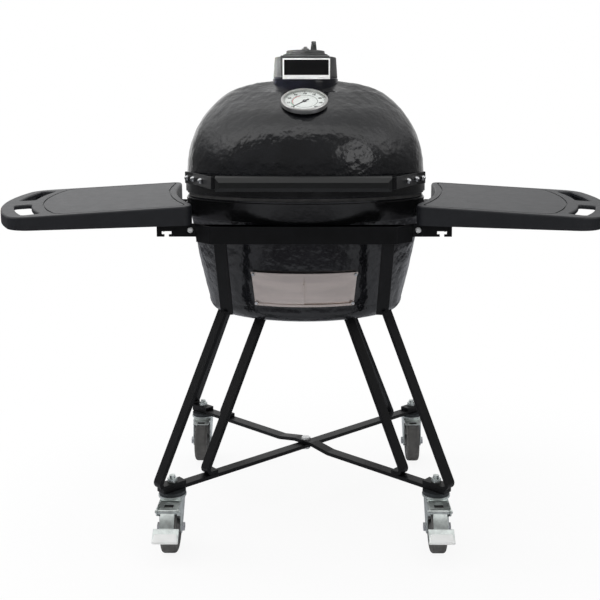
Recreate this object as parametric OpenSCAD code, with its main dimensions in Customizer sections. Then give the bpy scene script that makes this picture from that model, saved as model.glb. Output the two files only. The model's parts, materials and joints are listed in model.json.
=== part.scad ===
// Oval ceramic kamado grill in a steel cradle on four swivel casters, with two side shelves.
// Millimetres, +Z up, the front faces -Y, the floor is at Z = 0.

/* [Ceramic body] */
// Half width of the oval at the seam
oval_a = 260; // [252:1:270]
// Half depth of the oval at the seam
oval_b = 214; // [206:1:222]
// Distance of the two end arcs' centres from the middle
oval_c = 100; // [90:1:110]
// Wall of the ceramic shells
wall = 25; // [20:1:28]
// Height of the seam between base and lid
seam_z = 700; // [690:1:720]
// Height of the underside of the base
base_z = 440; // [432:1:448]
// Inward slope of the base's wall at the seam
base_taper = 0.14; // [0.1:0.01:0.18]
// Growth of that slope for each millimetre below the seam
base_curve = 0.00025; // [0.0001:0.00005:0.0003]
// Radius of the base's lower edge
base_edge_r = 30; // [26:1:36]
// Thickness of each felt gasket
gasket_t = 3; // [2:0.5:5]
// Clearance between pieces that only lie beside each other
gap = 0.3; // [0.2:0.05:0.4]

/* [Lid] */
// Height of the top of the dome
lid_top_z = 948; // [940:1:952]
// Height above the seam where the ends start to curve in
end_shoulder_h = 52; // [46:1:58]
// Radius of the dome's curve seen from the front
end_crown_r = 201; // [198:1:206]
// Height above the seam where the front starts to curve in
front_shoulder_h = 57; // [50:1:62]
// Radius of the dome's shoulder seen from the side
front_crown_r = 147; // [142:1:150]
// Slope of the panel between the shoulder and the chimney
panel_slope = 29; // [27:1:31]
// Outer radius of the collar under the chimney cap
collar_r = 70; // [66:1:74]
// Height of the collar's rim above the top of the dome
collar_h = 3; // [2:0.5:6]
// Radius of the smoke hole
smoke_r = 48; // [40:1:52]

/* [Bands, hinge and handle] */
// Thickness of the two steel bands
band_t = 3; // [2:0.5:4]
// Height of the bands
band_h = 40; // [34:1:42]
// Distance from the seam to the bands
band_gap = 7; // [5:1:9]
// Hinge pin radius
pin_r = 5; // [4:0.5:6]
// Running clearance of pins and axles, on the radius
run_gap = 0.05; // [0.03:0.01:0.08]
// Distance of the hinge pin behind the ceramic wall
pin_back = 40; // [36:1:48]
// Height of the hinge pin above the seam
pin_up = 10; // [6:1:14]
// Half the distance between the base's hinge ears
ear_x = 66; // [55:1:75]
// Thickness of a hinge ear
ear_t = 6; // [4:0.5:8]
// Length of the handle grip
grip_l = 340; // [300:1:360]
// Depth and height of the grip
grip_s = 30; // [26:1:34]
// Distance from the lid to the back of the grip
grip_out = 30; // [26:1:36]
// Height of the grip's middle above the seam
grip_up = 37; // [34:1:40]
// Thickness of the handle straps
strap_t = 4; // [3:0.5:5]
// Height of the handle straps
strap_h = 25; // [20:1:28]
// Radius of the dome nuts on the straps
nut_r = 6; // [5:0.5:7]

/* [Thermometer] */
// Distance of the dial's middle in front of the body's middle
dial_y = 126; // [118:1:132]
// Radius of the bezel
bezel_r = 48.5; // [42:0.5:50]
// Height of the bezel
bezel_h = 12; // [11:0.5:14]
// Radius of the stem
stem_r = 4; // [3:0.5:5]
// Length of the stem inside the lid
stem_l = 60; // [50:1:80]
// Radius of the needle's shaft
shaft_r = 1.5; // [1.2:0.1:2]

/* [Chimney] */
// Height of the cap's body
cap_h = 44; // [40:1:48]
// Radius of the cap's foot
cap_r = 70; // [67:1:72]
// Wall of the cap
cap_wall = 6; // [5:0.5:8]
// Radius of the cap's raised seat
seat_r = 49; // [46:1:52]
// Height of the raised seat
seat_h = 7; // [5:0.5:9]
// Radius of the damper disc
disc_r = 43; // [40:1:46]
// Thickness of the damper disc
disc_t = 7; // [5:0.5:9]
// Radius of each draught hole
draught_r = 11; // [9:0.5:12]
// Distance of the draught holes from the middle
draught_out = 26; // [25:0.5:28]
// Width of the damper's tab
tab_w = 11; // [8:0.5:14]
// Height of the damper's tab above the disc
tab_h = 21; // [16:1:24]
// Radius of the damper's bolt
vent_bolt_r = 4; // [3:0.5:5]
// Width of the plate on the cap
plate_w = 104; // [90:1:110]
// Height of the plate on the cap
plate_h = 43; // [38:1:44]
// Thickness of the plate on the cap
plate_t = 4; // [3:0.5:5]

/* [Draft door] */
// Width of the draft frame
draft_w = 215; // [200:1:230]
// Height of the draft frame
draft_h = 72; // [66:1:78]
// Height of the frame's middle
draft_z = 514; // [508:1:522]
// Width of the air opening
air_w = 90; // [80:1:96]
// Height of the air opening
air_h = 40; // [34:1:42]
// Sheet thickness of the frame and the door
sheet = 1.5; // [1:0.1:2]
// Depth of the rails' folded lips
rail_lip = 5; // [4:0.5:6]
// Radius of the draft screws' heads
screw_r = 4; // [3:0.5:4.5]

/* [Grates] */
// Wall of the firebox
fire_wall = 20; // [16:1:24]
// Height of the firebox's rim
fire_top = 650; // [640:1:660]
// Height of the ledge under the fire grate
ledge_z = 520; // [510:1:530]
// Thickness of the fire grate
fire_grate_t = 12; // [10:1:15]
// Number of slots in each half of the fire grate
fire_slots = 5; // [4:1:6]
// Wire radius of the grid's frame
frame_wire_r = 3; // [2.5:0.5:4]
// Wire radius of the grid's bars
bar_wire_r = 2; // [1.5:0.5:2.5]
// Number of bars on each side of the grid's middle
grid_bars = 11; // [9:1:13]

/* [Stand] */
// Width of the flat bars
bar_w = 25; // [22:1:28]
// Thickness of the flat bars
bar_t = 8; // [6:1:10]
// Distance of the caster stems from the middle, across
stem_x = 266; // [255:1:278]
// Distance of the caster stems from the middle, front to back
stem_y = 240; // [230:1:250]
// Reach of the legs' lower bends past the stems
foot_out = 37; // [32:1:42]
// Distance of the struts' feet inside the stems
strut_in = 77; // [70:1:85]
// Distance of the struts' tops from the middle
strut_top_r = 127; // [120:1:135]
// Distance of the knees from the middle
knee_r = 228; // [222:1:236]
// Height of the knees
knee_z = 466; // [460:1:474]
// Half the straight length of the cradle bars
cradle_x = 184; // [180:1:190]
// Distance of the cradle bars from the middle
cradle_y = 226; // [222:1:232]
// Thickness of the cradle bars
cradle_bar_t = 5; // [4.5:0.5:6]
// Thickness of the arms
cradle_t = 4; // [3:0.5:4.5]
// Height of the cradle bars
cradle_h = 35; // [32:1:38]

/* [Shelves] */
// Overall reach of each shelf from the middle
shelf_reach = 653; // [620:1:680]
// Length of each shelf
shelf_l = 388; // [360:1:400]
// Half the depth of each shelf
shelf_half = 221; // [205:1:230]
// Height of the skirt at the grill end
shelf_h = 39; // [35:1:44]
// Fall of the top towards the tip
shelf_fall = 2.25; // [1.5:0.05:3]
// Rise of the shelf towards the back
shelf_tilt = 2.5; // [1:0.1:3]
// Forward sweep of the shelf
shelf_sweep = 11.6; // [0:0.1:14]
// Wall of the shelf moulding
shelf_wall = 4; // [3:0.5:5]
// Radius of the shelf's outer end
tip_r = 560; // [480:5:640]
// Radius of the shelf's outer corners
corner_r = 50; // [40:1:60]
// Radius of the horns at the shelf's inner end
horn_r = 22; // [20:1:30]
// Radius of the hollow at the shelf's inner end
nest_r = 820; // [700:10:900]
// Depth of the hollow at the shelf's inner end
nest_d = 20; // [15:1:30]
// Distance of the panel's groove from the edge
panel_in = 14; // [10:1:16]
// Distance of the panel's outer end from the tip
panel_end = 84; // [78:1:92]
// Width of the panel's groove
groove_w = 3; // [2:0.5:4]
// Depth of the panel's groove
panel_d = 2; // [1.5:0.5:3]
// Width of the hand slots
slot_w = 34; // [30:1:38]
// Distance of the hand slots from the tip
slot_in = 27; // [24:1:32]
// Start of a hand slot, in degrees round the tip's centre
slot_from = 4; // [3:0.5:6]
// End of a hand slot, in degrees round the tip's centre
slot_to = 21; // [18:0.5:22]
// Distance of the arms from the middle, front to back
arm_y = 186; // [180:1:190]
// Reach of the front arms under the shelves
arm_lap = 33; // [28:1:38]
// Height of the arms
arm_h = 27; // [24:1:30]
// Height of the front arms' upper edge
arm_z = 652; // [646:1:656]
// Distance of the hanging notch from the arm's end
notch_in = 20; // [17:1:24]
// Width of the hanging notch
notch_w = 20; // [16:1:24]
// Width of the notch's mouth
mouth_w = 9; // [7:1:11]

/* [Casters] */
// Wheel radius
wheel_r = 50; // [48:1:52]
// Tread width
tread_w = 30; // [26:1:32]
// Trail of the wheel from the stem
trail = 22; // [18:1:26]
// Distance between the fork's cheeks
fork_gap = 38; // [36:1:42]
// Thickness of the fork's sheet
fork_t = 3; // [2:0.5:4]
// Axle radius
axle_r = 5; // [4:0.5:6]
// Radius of the swivel race
race_r = 28; // [26:1:30]
// Stem radius
bolt_r = 6; // [5:0.5:7]
// Distance of the pedal's pivot from the axle
pedal_out = 60; // [59:0.5:64]
// Angle of the pedal's pivot above the axle
pedal_angle = 52; // [48:1:56]
// Width of the pedal's pad
pad_w = 50; // [40:1:56]

/* [Hidden] */
$fn = 96;
loft_n = 60;

// The oval: two end arcs about (+-oval_c, 0) and two side arcs about (0, +-oval_k), tangent where they meet
oval_m = oval_a - oval_b;
oval_k = oval_m * (2 * oval_c - oval_m) / (2 * (oval_c - oval_m));
oval_phi = atan2(oval_k, oval_c);
end_r = oval_a - oval_c;
side_r = oval_b + oval_k;

// Heights that follow from the seam
base_top = seam_z - gasket_t;
lid_z = seam_z + gap + gasket_t;
end_z = seam_z + end_shoulder_h;
front_z = seam_z + front_shoulder_h;
panel_a = 90 - panel_slope;
lid_in_top = lid_top_z - wall - wall * tan(panel_slope) / 2;
collar_z = lid_top_z + collar_h;

// The hinge pin's place and the handle's
pin_y = oval_b + pin_back;
pin_z = seam_z + pin_up;
grip_y = oval_b + grip_out + grip_s / 2;
grip_z = seam_z + grip_up;
hinge_plate_t = 4;
ear_r = 2.4 * pin_r;

// The dial's place on the sloping panel
panel_b = oval_b - front_crown_r + front_crown_r * cos(panel_a);
panel_z = front_z + front_crown_r * sin(panel_a);
dial_z = panel_z + (panel_b - dial_y) * tan(panel_slope);

// The chimney's levels
cap_top = collar_z + cap_h;
seat_z = cap_top + seat_h;
disc_z = seat_z + gap;

// The draft door runs round the front arc's own centre
draft_d = base_d(draft_z);
draft_lean = base_taper + 2 * base_curve * (seam_z - draft_z);
draft_a = draft_w / (side_r + draft_d) * 180 / PI;
air_a = air_w / (side_r + draft_d) * 180 / PI;
door_a = air_a + 4;
door_at = -draft_a / 4;

// The stand's levels and its plan diagonal
race_z = 2 * wheel_r + 2 + fork_t + 1;
race_h = 5;
brace_z = race_z + 2 * race_h + 2;
foot_z = brace_z + bar_t;
stem_r_out = norm([stem_x, stem_y]);
diagonal = atan2(stem_y, stem_x);
pad_z = base_z - bar_t / 2;
cradle_drop = 2;
cradle_z = arm_z - cradle_drop - cradle_h;
leg_run = (stem_r_out + foot_out - knee_r) / (knee_z - foot_z - bar_t / 2);
strut_foot_r = stem_r_out - strut_in;

// Pedal pivot, seen from the stem's foot
pivot_y = -trail - pedal_out * cos(pedal_angle);
pivot_z = wheel_r + pedal_out * sin(pedal_angle);
pedal_pin_r = 3;
pad_t = 6;
pad_l = 28;
pad_lean = 42;
arm_end_a = 20;
pad_y = -trail - pedal_out * cos(arm_end_a);
pad_top = wheel_r + pedal_out * sin(arm_end_a);

// The whole grill is moved so that its box is centred on the origin
front_reach = stem_y - pad_y + pad_l * cos(pad_lean) + pad_t / 2 * sin(pad_lean);
leg_lean = atan(1 / leg_run);
foot_tip = stem_r_out + foot_out + bar_t * (1.5 - 1 / tan(leg_lean / 2));
rear_reach = foot_tip * sin(diagonal) + bar_w / 2 * cos(diagonal);
y0 = (front_reach - rear_reach) / 2;

// The thermometer's layers: rim of the bezel, then the dial's height over the panel, its sheet and the glass
rim_w = 3.5;
dial_up = 5;
dial_t = 1;
glass_t = 1.5;

// Distance of the draft frame from the ceramic
wall_gap = 1;

// Points on each bend of a bar and on each arc of the shelves' outlines
bend_n = 5;
arc_n = 8;

// The shelves' grill end, and how far the rear arms reach past the front ones
shelf_in = shelf_reach - shelf_l;
arm_more = 2 * arm_y * tan(shelf_sweep);
slot_edge_r = 8;

function base_d(z) = -base_taper * (seam_z - z) - base_curve * pow(seam_z - z, 2);
function oval_pt(t) =
    abs(sin(t)) <= sin(oval_phi)
    ? [sign(cos(t)) * oval_c + end_r * cos(t), end_r * sin(t)]
    : [side_r * cos(t), side_r * sin(t) - sign(sin(t)) * oval_k];
function oval_half(x, d) =
    abs(x) > oval_c + (end_r + d) * cos(oval_phi)
    ? sqrt(pow(end_r + d, 2) - pow(abs(x) - oval_c, 2))
    : sqrt(pow(side_r + d, 2) - x * x) - oval_k;
function lid_a(z, w) =
    z <= end_z ? oval_a - w : oval_a - end_crown_r + sqrt(pow(end_crown_r - w, 2) - pow(z - end_z, 2));
function lid_b(z, w) =
    z <= front_z ? oval_b - w
    : z <= front_z + (front_crown_r - w) * sin(panel_a)
    ? oval_b - front_crown_r + sqrt(pow(front_crown_r - w, 2) - pow(z - front_z, 2))
    : oval_b - front_crown_r + (front_crown_r - w) * cos(panel_a)
      - (z - front_z - (front_crown_r - w) * sin(panel_a)) / tan(panel_slope);
function lid_ring(z, w) = [
    for (i = [0 : loft_n - 1])
        let (p = oval_pt(360 * i / loft_n))
        [p[0] * lid_a(z, w) / oval_a, p[1] * lid_b(z, w) / oval_b, z]
];

// Middle of a hinge foot's plate at x, over a wall that stands d off the oval
function foot_y(x, d) =
    sqrt(pow(side_r + band_t + 2 * gap + hinge_plate_t / 2 + d, 2) - x * x) - oval_k;

// A bar's middle line with each corner turned into an arc of radius r
function unit(v) = v / norm(v);
function angle_of(v) = atan2(v[1], v[0]);
function bend_at(p, u, v, r) =
    let (
        half = acos(u * v) / 2,
        c = p + unit(u + v) * r / sin(half),
        a = angle_of(p + u * r / tan(half) - c),
        sweep = (angle_of(p + v * r / tan(half) - c) - a + 540) % 360 - 180
    )
    [for (i = [0 : bend_n]) c + r * [cos(a + sweep * i / bend_n), sin(a + sweep * i / bend_n)]];
function bent(p, r) =
    let (last = len(p) - 1)
    [
        p[0],
        for (i = [1 : 1 : last - 1]) each bend_at(p[i], unit(p[i - 1] - p[i]), unit(p[i + 1] - p[i]), r),
        p[last]
    ];

// Outline of a bar t wide along the middle line p
function beside(p, d) =
    let (last = len(p) - 1)
    [
        for (i = [0 : last])
            let (
                a = unit(p[max(i, 1)] - p[max(i, 1) - 1]),
                b = unit(p[min(i, last - 1) + 1] - p[min(i, last - 1)])
            )
            p[i] + [-a[1] - b[1], a[0] + b[0]] * d / (1 + a * b)
    ];
function backwards(p) = [for (i = [len(p) - 1 : -1 : 0]) p[i]];
function strip(p, t) = concat(beside(p, -t / 2), backwards(beside(p, t / 2)));

// Points from a to b round c
function polar(r, t) = [r * cos(t), r * sin(t)];
function arc(c, r, a, b) = [for (i = [0 : arc_n]) c + polar(r, a + (b - a) * i / arc_n)];

// Front half of a shelf's outline drawn in by s: hollow grill end, horn, corner and wide round tip
function shelf_side(s, tip) =
    let (
        h = shelf_half - s,
        end = [tip - tip_r, 0],
        r = corner_r - s,
        c = end + [sqrt(pow(tip_r - corner_r, 2) - pow(h - r, 2)), r - h],
        a = angle_of(c - end),
        nest = [nest_d - nest_r, 0],
        b = acos((s - nest[0]) / (nest_r + s)),
        span = 2 * arc_n + 1
    )
    concat(
        [for (i = [0 : arc_n]) nest + polar(nest_r + s, -b * (2 * i + 1) / span)],
        arc([horn_r, horn_r - s - h], horn_r - s, 180, 270),
        arc(c, r, -90, a),
        [for (i = [1 : arc_n]) end + polar(tip_r - s, a * (1 - 2 * i / span))]
    );
function shelf_outline(s, tip) =
    let (side = shelf_side(s, tip))
    concat(side, backwards([for (p = side) [p[0], -p[1]]]));

// Outline of a hand slot with round corners
function slot_outline() =
    let (
        q = slot_edge_r,
        far = tip_r - slot_in,
        near = far - slot_w,
        u = asin(q / (far - q)),
        v = asin(q / (near + q))
    )
    concat(
        arc([0, 0], far, slot_from + u, slot_to - u),
        arc(polar(far - q, slot_to - u), q, slot_to - u, slot_to + 90),
        arc(polar(near + q, slot_to - v), q, slot_to + 90, slot_to - v + 180),
        arc([0, 0], near, slot_to - v, slot_from + v),
        arc(polar(near + q, slot_from + v), q, slot_from + v + 180, slot_from + 270),
        arc(polar(far - q, slot_from + u), q, slot_from + 270, slot_from + u + 360)
    );

// Sets a piece in the part's frame, in its colour
module piece(shade) {
    translate([0, y0, 0]) color(shade) children();
}

// The plan wedge that an end arc fills
module end_wedge(side) {
    far = 2 * oval_a;
    mirror([side < 0 ? 1 : 0, 0, 0]) linear_extrude(lid_top_z) polygon([
        [oval_c, 0], [oval_c + far * cos(oval_phi), far * sin(oval_phi)],
        [oval_c + far * cos(oval_phi), -far * sin(oval_phi)]
    ]);
}

// Oval solid of revolved arcs. Sections are (offset from the oval, height): the end section may reach the end
// arcs' axes, and the side section the long middle line.
module oval_cup(end_points, side_points) {
    far = 4 * oval_a;
    for (side = [-1, 1]) {
        intersection() {
            translate([side * oval_c, 0, 0]) rotate_extrude() translate([end_r, 0]) polygon(end_points);
            end_wedge(side);
        }
        difference() {
            intersection() {
                translate([0, -side * oval_k, 0]) rotate_extrude() translate([side_r, 0]) polygon(side_points);
                translate([-far / 2, side > 0 ? 0 : -far, 0]) cube([far, far, lid_top_z]);
            }
            end_wedge(1);
            end_wedge(-1);
        }
    }
}

// Closed oval ring with one section all round
module oval_ring(points) {
    oval_cup(points, points);
}

// Bent flat bar in the plane of X and Z through the given points
module bent_bar(points, w, t) {
    rotate([90, 0, 0]) translate([0, 0, -w / 2]) linear_extrude(w) polygon(strip(bent(points, t), t));
}

// Upright plate bent in plan through the given points
module bent_plate(points, t, low, high) {
    translate([0, 0, low]) linear_extrude(high - low) polygon(strip(bent(points, 1.5 * t), t));
}

// Puts what is modelled at the right rear into another corner
module corner(x, y) {
    mirror([x < 0 ? 1 : 0, 0, 0]) mirror([0, y < 0 ? 1 : 0, 0]) children();
}

// Ceramic

function base_section(d_end) =
    let (
        edge_z = base_z + base_edge_r,
        edge_d = base_d(edge_z) - base_edge_r,
        floor_z = base_z + wall,
        steps = 6
    )
    concat(
        [for (i = [0 : steps]) let (z = base_top + (edge_z - base_top) * i / steps) [base_d(z), z]],
        [for (t = [15 : 15 : 90]) [edge_d + base_edge_r * cos(t), edge_z - base_edge_r * sin(t)]],
        [[d_end, base_z], [d_end, floor_z], [edge_d, floor_z]],
        [for (i = [0 : steps])
            let (z = floor_z + base_edge_r + (base_top - floor_z - base_edge_r) * i / steps)
            [base_d(z) - wall, z]]
    );

module base_shell() {
    piece([0.1, 0.1, 0.11]) difference() {
        oval_cup(base_section(-end_r), base_section(-oval_b));
        air_cut(air_a, air_h, wall * 2);
    }
}

// Wedge-shaped cut through the front wall, centred on the air opening
module air_cut(angle, height, depth) {
    translate([0, oval_k, draft_z - height / 2]) rotate([0, 0, 270 + door_at - angle / 2])
        rotate_extrude(angle = angle) translate([side_r + draft_d - depth, 0]) square([depth * 1.5, height]);
}

module firebox() {
    fire_z = base_z + wall;
    out = -wall - 4;
    ledge_w = 16;
    piece([0.62, 0.58, 0.52]) difference() {
        oval_ring([
            [base_d(fire_z + base_edge_r) + out - base_edge_r, fire_z],
            [base_d(fire_z + base_edge_r) + out - base_edge_r - fire_wall - ledge_w, fire_z],
            [base_d(ledge_z) + out - fire_wall - ledge_w, ledge_z],
            [base_d(ledge_z) + out - fire_wall, ledge_z],
            [base_d(fire_top) + out - fire_wall, fire_top],
            [base_d(fire_top) + out, fire_top],
            [base_d(fire_z + base_edge_r) + out, fire_z + base_edge_r]
        ]);
        translate([-air_w / 2 - draft_w / 4, -oval_b, fire_z - 1])
            cube([air_w * 1.2, oval_b, ledge_z - fire_z - 14]);
    }
}

module fire_grate() {
    edge = base_d(ledge_z) - wall - 4 - fire_wall - 2;
    pitch = (oval_a + edge) / (fire_slots + 0.6);
    piece([0.2, 0.2, 0.2]) translate([0, 0, ledge_z]) difference() {
        oval_cup(
            [[edge, 0], [-end_r, 0], [-end_r, fire_grate_t], [edge, fire_grate_t]],
            [[edge, 0], [-oval_b, 0], [-oval_b, fire_grate_t], [edge, fire_grate_t]]
        );
        for (side = [-1, 1], i = [0 : fire_slots - 1]) {
            x = side * pitch * (i + 0.5);
            l = oval_half(x, edge) - 22;
            for (y = [-l / 2 - 6, l / 2 + 6])
                translate([x - 6, y - l / 2 + 6, -1]) cube([12, l - 12, fire_grate_t + 2]);
        }
    }
}

module cooking_grate() {
    edge = base_d(fire_top) - wall - 4 - fire_wall / 2;
    z = fire_top + frame_wire_r;
    pitch = (oval_a + edge) / (grid_bars + 0.8);
    r = frame_wire_r;
    piece([0.25, 0.25, 0.26]) {
        oval_ring([[edge - r, z - r], [edge + r, z - r], [edge + r, z + r], [edge - r, z + r]]);
        for (i = [-grid_bars : grid_bars]) {
            l = oval_half(i * pitch, edge);
            translate([i * pitch, -l, z]) rotate([-90, 0, 0]) cylinder(r = bar_wire_r, h = 2 * l);
        }
        for (side = [-1, 1]) {
            y = side * oval_b * 0.42;
            x = oval_c + sqrt(pow(end_r + edge, 2) - y * y);
            translate([-x, y - r, z - r]) cube([2 * x, 2 * r, 2 * r - bar_wire_r]);
        }
    }
}

module gasket(z) {
    oval_ring([[-3, z], [-3, z + gasket_t], [3 - wall, z + gasket_t], [3 - wall, z]]);
}

module base_gasket() {
    piece([0.3, 0.3, 0.3]) gasket(base_top);
}

module lid_gasket() {
    piece([0.3, 0.3, 0.3]) gasket(seam_z + gap);
}

// The dome is a loft of ovals from the seam to the top, outside and inside, closed at the top
module dome() {
    outer_n = 12;
    inner_n = 8;
    outer = [
        lid_ring(lid_z, 0),
        for (i = [0 : outer_n]) lid_ring(end_z + (lid_top_z - end_z) * sin(90 * i / outer_n), 0)
    ];
    inner = [
        lid_ring(lid_z, wall),
        for (i = [0 : inner_n]) lid_ring(end_z + (lid_in_top - end_z) * sin(90 * i / inner_n), wall)
    ];
    rings = [for (i = [len(outer) - 1 : -1 : 0]) outer[i], for (r = inner) r];
    last = len(rings) - 1;
    polyhedron(
        points = [for (r = rings) for (p = r) p],
        faces = [
            [for (i = [loft_n - 1 : -1 : 0]) i],
            for (k = [0 : last - 1]) for (i = [0 : loft_n - 1])
                let (a = k * loft_n + i, b = k * loft_n + (i + 1) % loft_n)
                each [[a, b, b + loft_n], [a, b + loft_n, a + loft_n]],
            [for (i = [0 : loft_n - 1]) last * loft_n + i]
        ]
    );
}

// Frame of the thermometer: its origin is on the panel and its Z axis points out of the dome
module on_panel() {
    translate([0, -dial_y, dial_z]) rotate([panel_slope, 0, 0]) children();
}

module lid_shell() {
    piece([0.1, 0.1, 0.11]) difference() {
        union() {
            dome();
            translate([0, 0, lid_in_top - wall]) cylinder(r = collar_r, h = collar_z - lid_in_top + wall);
        }
        translate([0, 0, lid_in_top - 2 * wall]) cylinder(r = smoke_r, h = 4 * wall);
        translate([0, 0, lid_in_top - 4 * wall]) cylinder(r = collar_r + 1, h = 3 * wall);
        on_panel() translate([0, 0, -stem_l]) cylinder(r = stem_r + 1, h = 2 * stem_l);
    }
}

// Bands, hinge and handle

function band_section(low, high) = [
    [base_d(low) + gap, low], [base_d(low) + gap + band_t, low],
    [base_d(high) + gap + band_t, high], [base_d(high) + gap, high]
];

module base_band() {
    piece([0.06, 0.06, 0.07]) oval_ring(band_section(seam_z - band_gap - band_h, seam_z - band_gap));
}

module lid_band() {
    low = seam_z + band_gap;
    piece([0.06, 0.06, 0.07]) oval_ring([
        [gap, low], [gap + band_t, low], [gap + band_t, low + band_h], [gap, low + band_h]
    ]);
}

// Curved foot of a hinge bracket against the band's outside
module hinge_foot(d_low, d_high, low, high) {
    angle = 2 * asin((ear_x + 16) / side_r);
    translate([0, -oval_k, 0]) rotate([0, 0, 90 - angle / 2]) rotate_extrude(angle = angle)
        translate([side_r + band_t + 2 * gap, 0]) polygon([
            [d_low, low], [d_low + hinge_plate_t, low], [d_high + hinge_plate_t, high], [d_high, high]
        ]);
}

// Hinge ear in the plane of Y and Z, from the middle of the foot's plate to the pin
module hinge_ear(x, d_low, d_high, low, high) {
    translate([x - ear_t / 2, 0, 0]) rotate([90, 0, 90]) linear_extrude(ear_t) difference() {
        union() {
            translate([pin_y, pin_z]) circle(ear_r);
            polygon([
                [foot_y(x, d_low), low], [foot_y(x, d_high), high], [pin_y, pin_z + ear_r], [pin_y + ear_r, pin_z]
            ]);
        }
        translate([pin_y, pin_z]) circle(pin_r + run_gap);
    }
}

module hinge_base_bracket() {
    high = seam_z - band_gap;
    low = high - band_h;
    ear_low = low + 4;
    ear_high = high - 2;
    piece([0.07, 0.07, 0.08]) {
        hinge_foot(base_d(low), base_d(high), low, high);
        for (x = [-ear_x, ear_x]) hinge_ear(x, base_d(ear_low), base_d(ear_high), ear_low, ear_high);
    }
}

module hinge_lid_bracket() {
    low = seam_z + band_gap + 2;
    high = low + band_h - 4;
    inner_x = ear_x - ear_t - gap;
    piece([0.07, 0.07, 0.08]) {
        hinge_foot(0, 0, low, high);
        for (x = [-inner_x, inner_x]) hinge_ear(x, 0, 0, low + 2, high - 2);
    }
}

module hinge_pin() {
    l = 2 * ear_x + ear_t;
    piece([0.6, 0.6, 0.62]) translate([-l / 2, pin_y, pin_z]) rotate([0, 90, 0]) {
        cylinder(r = pin_r, h = l);
        for (z = [-4, l]) translate([0, 0, z]) cylinder(r = pin_r + 3, h = 4);
    }
}

// Plan of the right-hand strap: along the band, out past the corner, then behind the grip
function strap_plan() =
    let (r = end_r + band_t + gap + strap_t, back = oval_b + grip_out - strap_t / 2)
    [
        [oval_c + r * cos(20), -r * sin(20)],
        [oval_c + r * cos(37), -r * sin(37)],
        [grip_l / 2 + 8, -back],
        [grip_l / 2 - 50, -back]
    ];

module handle_straps() {
    low = grip_z - strap_h / 2;
    piece([0.07, 0.07, 0.08]) for (side = [1, -1]) corner(side, 1)
        bent_plate(strap_plan(), strap_t, low, low + strap_h);
}

module handle_grip() {
    s = grip_s / 2;
    bevel = grip_s / 4;
    outline = [
        [-s, -s + bevel], [-s + bevel, -s], [s, -s], [s, s], [-s + bevel * 1.6, s], [-s, s - bevel * 1.6]
    ];
    piece([0.16, 0.18, 0.17]) difference() {
        translate([-grip_l / 2, -grip_y, grip_z]) rotate([90, 0, 90]) linear_extrude(grip_l) polygon(outline);
        for (side = [-1, 1]) translate([side * grip_l / 2, -grip_y - s, grip_z]) rotate([0, 0, 45])
            cube([bevel * 1.5, bevel * 1.5, 2 * grip_s], center = true);
    }
}

module handle_nuts() {
    plan = strap_plan();
    spots = [[0, 0.45], [1, 0.08], [1, 0.5]];
    piece([0.8, 0.8, 0.82]) for (side = [1, -1]) corner(side, 1) for (s = spots) {
        v = plan[s[0] + 1] - plan[s[0]];
        p = plan[s[0]] + v * s[1];
        translate([p[0], p[1], grip_z]) rotate([0, 0, atan2(v[1], v[0])]) rotate([-90, 0, 0])
            translate([0, 0, strap_t / 2]) {
                cylinder(r = nut_r, h = 4);
                translate([0, 0, 4]) intersection() {
                    sphere(r = nut_r - 1);
                    translate([-nut_r, -nut_r, 0]) cube(2 * nut_r);
                }
            }
    }
}

// Thermometer

module thermometer_bezel() {
    piece([0.75, 0.75, 0.77]) on_panel() translate([0, 0, gap]) rotate_extrude() polygon([
        [stem_r + 0.3, 0], [bezel_r - 2, 0], [bezel_r, 2], [bezel_r, bezel_h - 2], [bezel_r - 2, bezel_h],
        [bezel_r - rim_w - 2, bezel_h], [bezel_r - rim_w - 2, bezel_h - 1], [bezel_r - rim_w, bezel_h - 1],
        [bezel_r - rim_w, dial_up], [stem_r + 0.3, dial_up]
    ]);
}

module thermometer_dial() {
    piece([0.95, 0.95, 0.93]) on_panel() translate([0, 0, gap + dial_up]) difference() {
        cylinder(r = bezel_r - rim_w - gap, h = dial_t);
        translate([0, 0, -1]) cylinder(r = shaft_r + 0.5, h = dial_t + 2);
    }
}

module thermometer_glass() {
    piece([0.8, 0.85, 0.9, 0.3]) on_panel() translate([0, 0, gap + bezel_h - 1 - glass_t])
        cylinder(r = bezel_r - rim_w - gap, h = glass_t);
}

module thermometer_needle() {
    l = bezel_r - rim_w - 12;
    piece([0.1, 0.1, 0.1]) on_panel() translate([0, 0, gap + dial_up + dial_t + gap]) difference() {
        union() {
            cylinder(r = 4, h = 1.5);
            rotate([0, 0, 225]) linear_extrude(0.8) polygon([[-12, -1.6], [l, -0.4], [l, 0.4], [-12, 1.6]]);
        }
        translate([0, 0, -1]) cylinder(r = shaft_r + run_gap, h = 4);
    }
}

module thermometer_stem() {
    piece([0.7, 0.7, 0.72]) on_panel() translate([0, 0, -stem_l]) {
        cylinder(r = stem_r, h = stem_l + gap + dial_up);
        cylinder(r = shaft_r, h = stem_l + gap + dial_up + dial_t + 2);
    }
}

// Chimney

module draught_holes(h) {
    for (t = [30 : 120 : 270]) rotate([0, 0, t]) translate([draught_out, 0, 0]) cylinder(r = draught_r, h = h);
}

module vent_cap() {
    flare = 3;
    piece([0.42, 0.42, 0.42]) translate([0, 0, collar_z]) difference() {
        union() {
            cylinder(r1 = cap_r, r2 = cap_r - flare, h = cap_h);
            cylinder(r = seat_r, h = cap_h + seat_h);
            translate([-plate_w / 2, -cap_r, 0]) cube([plate_w, cap_r, cap_h]);
        }
        translate([0, 0, -1]) cylinder(r = smoke_r, h = cap_h - cap_wall + 1);
        draught_holes(2 * cap_h);
        cylinder(r = vent_bolt_r + run_gap, h = 2 * cap_h);
    }
}

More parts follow.
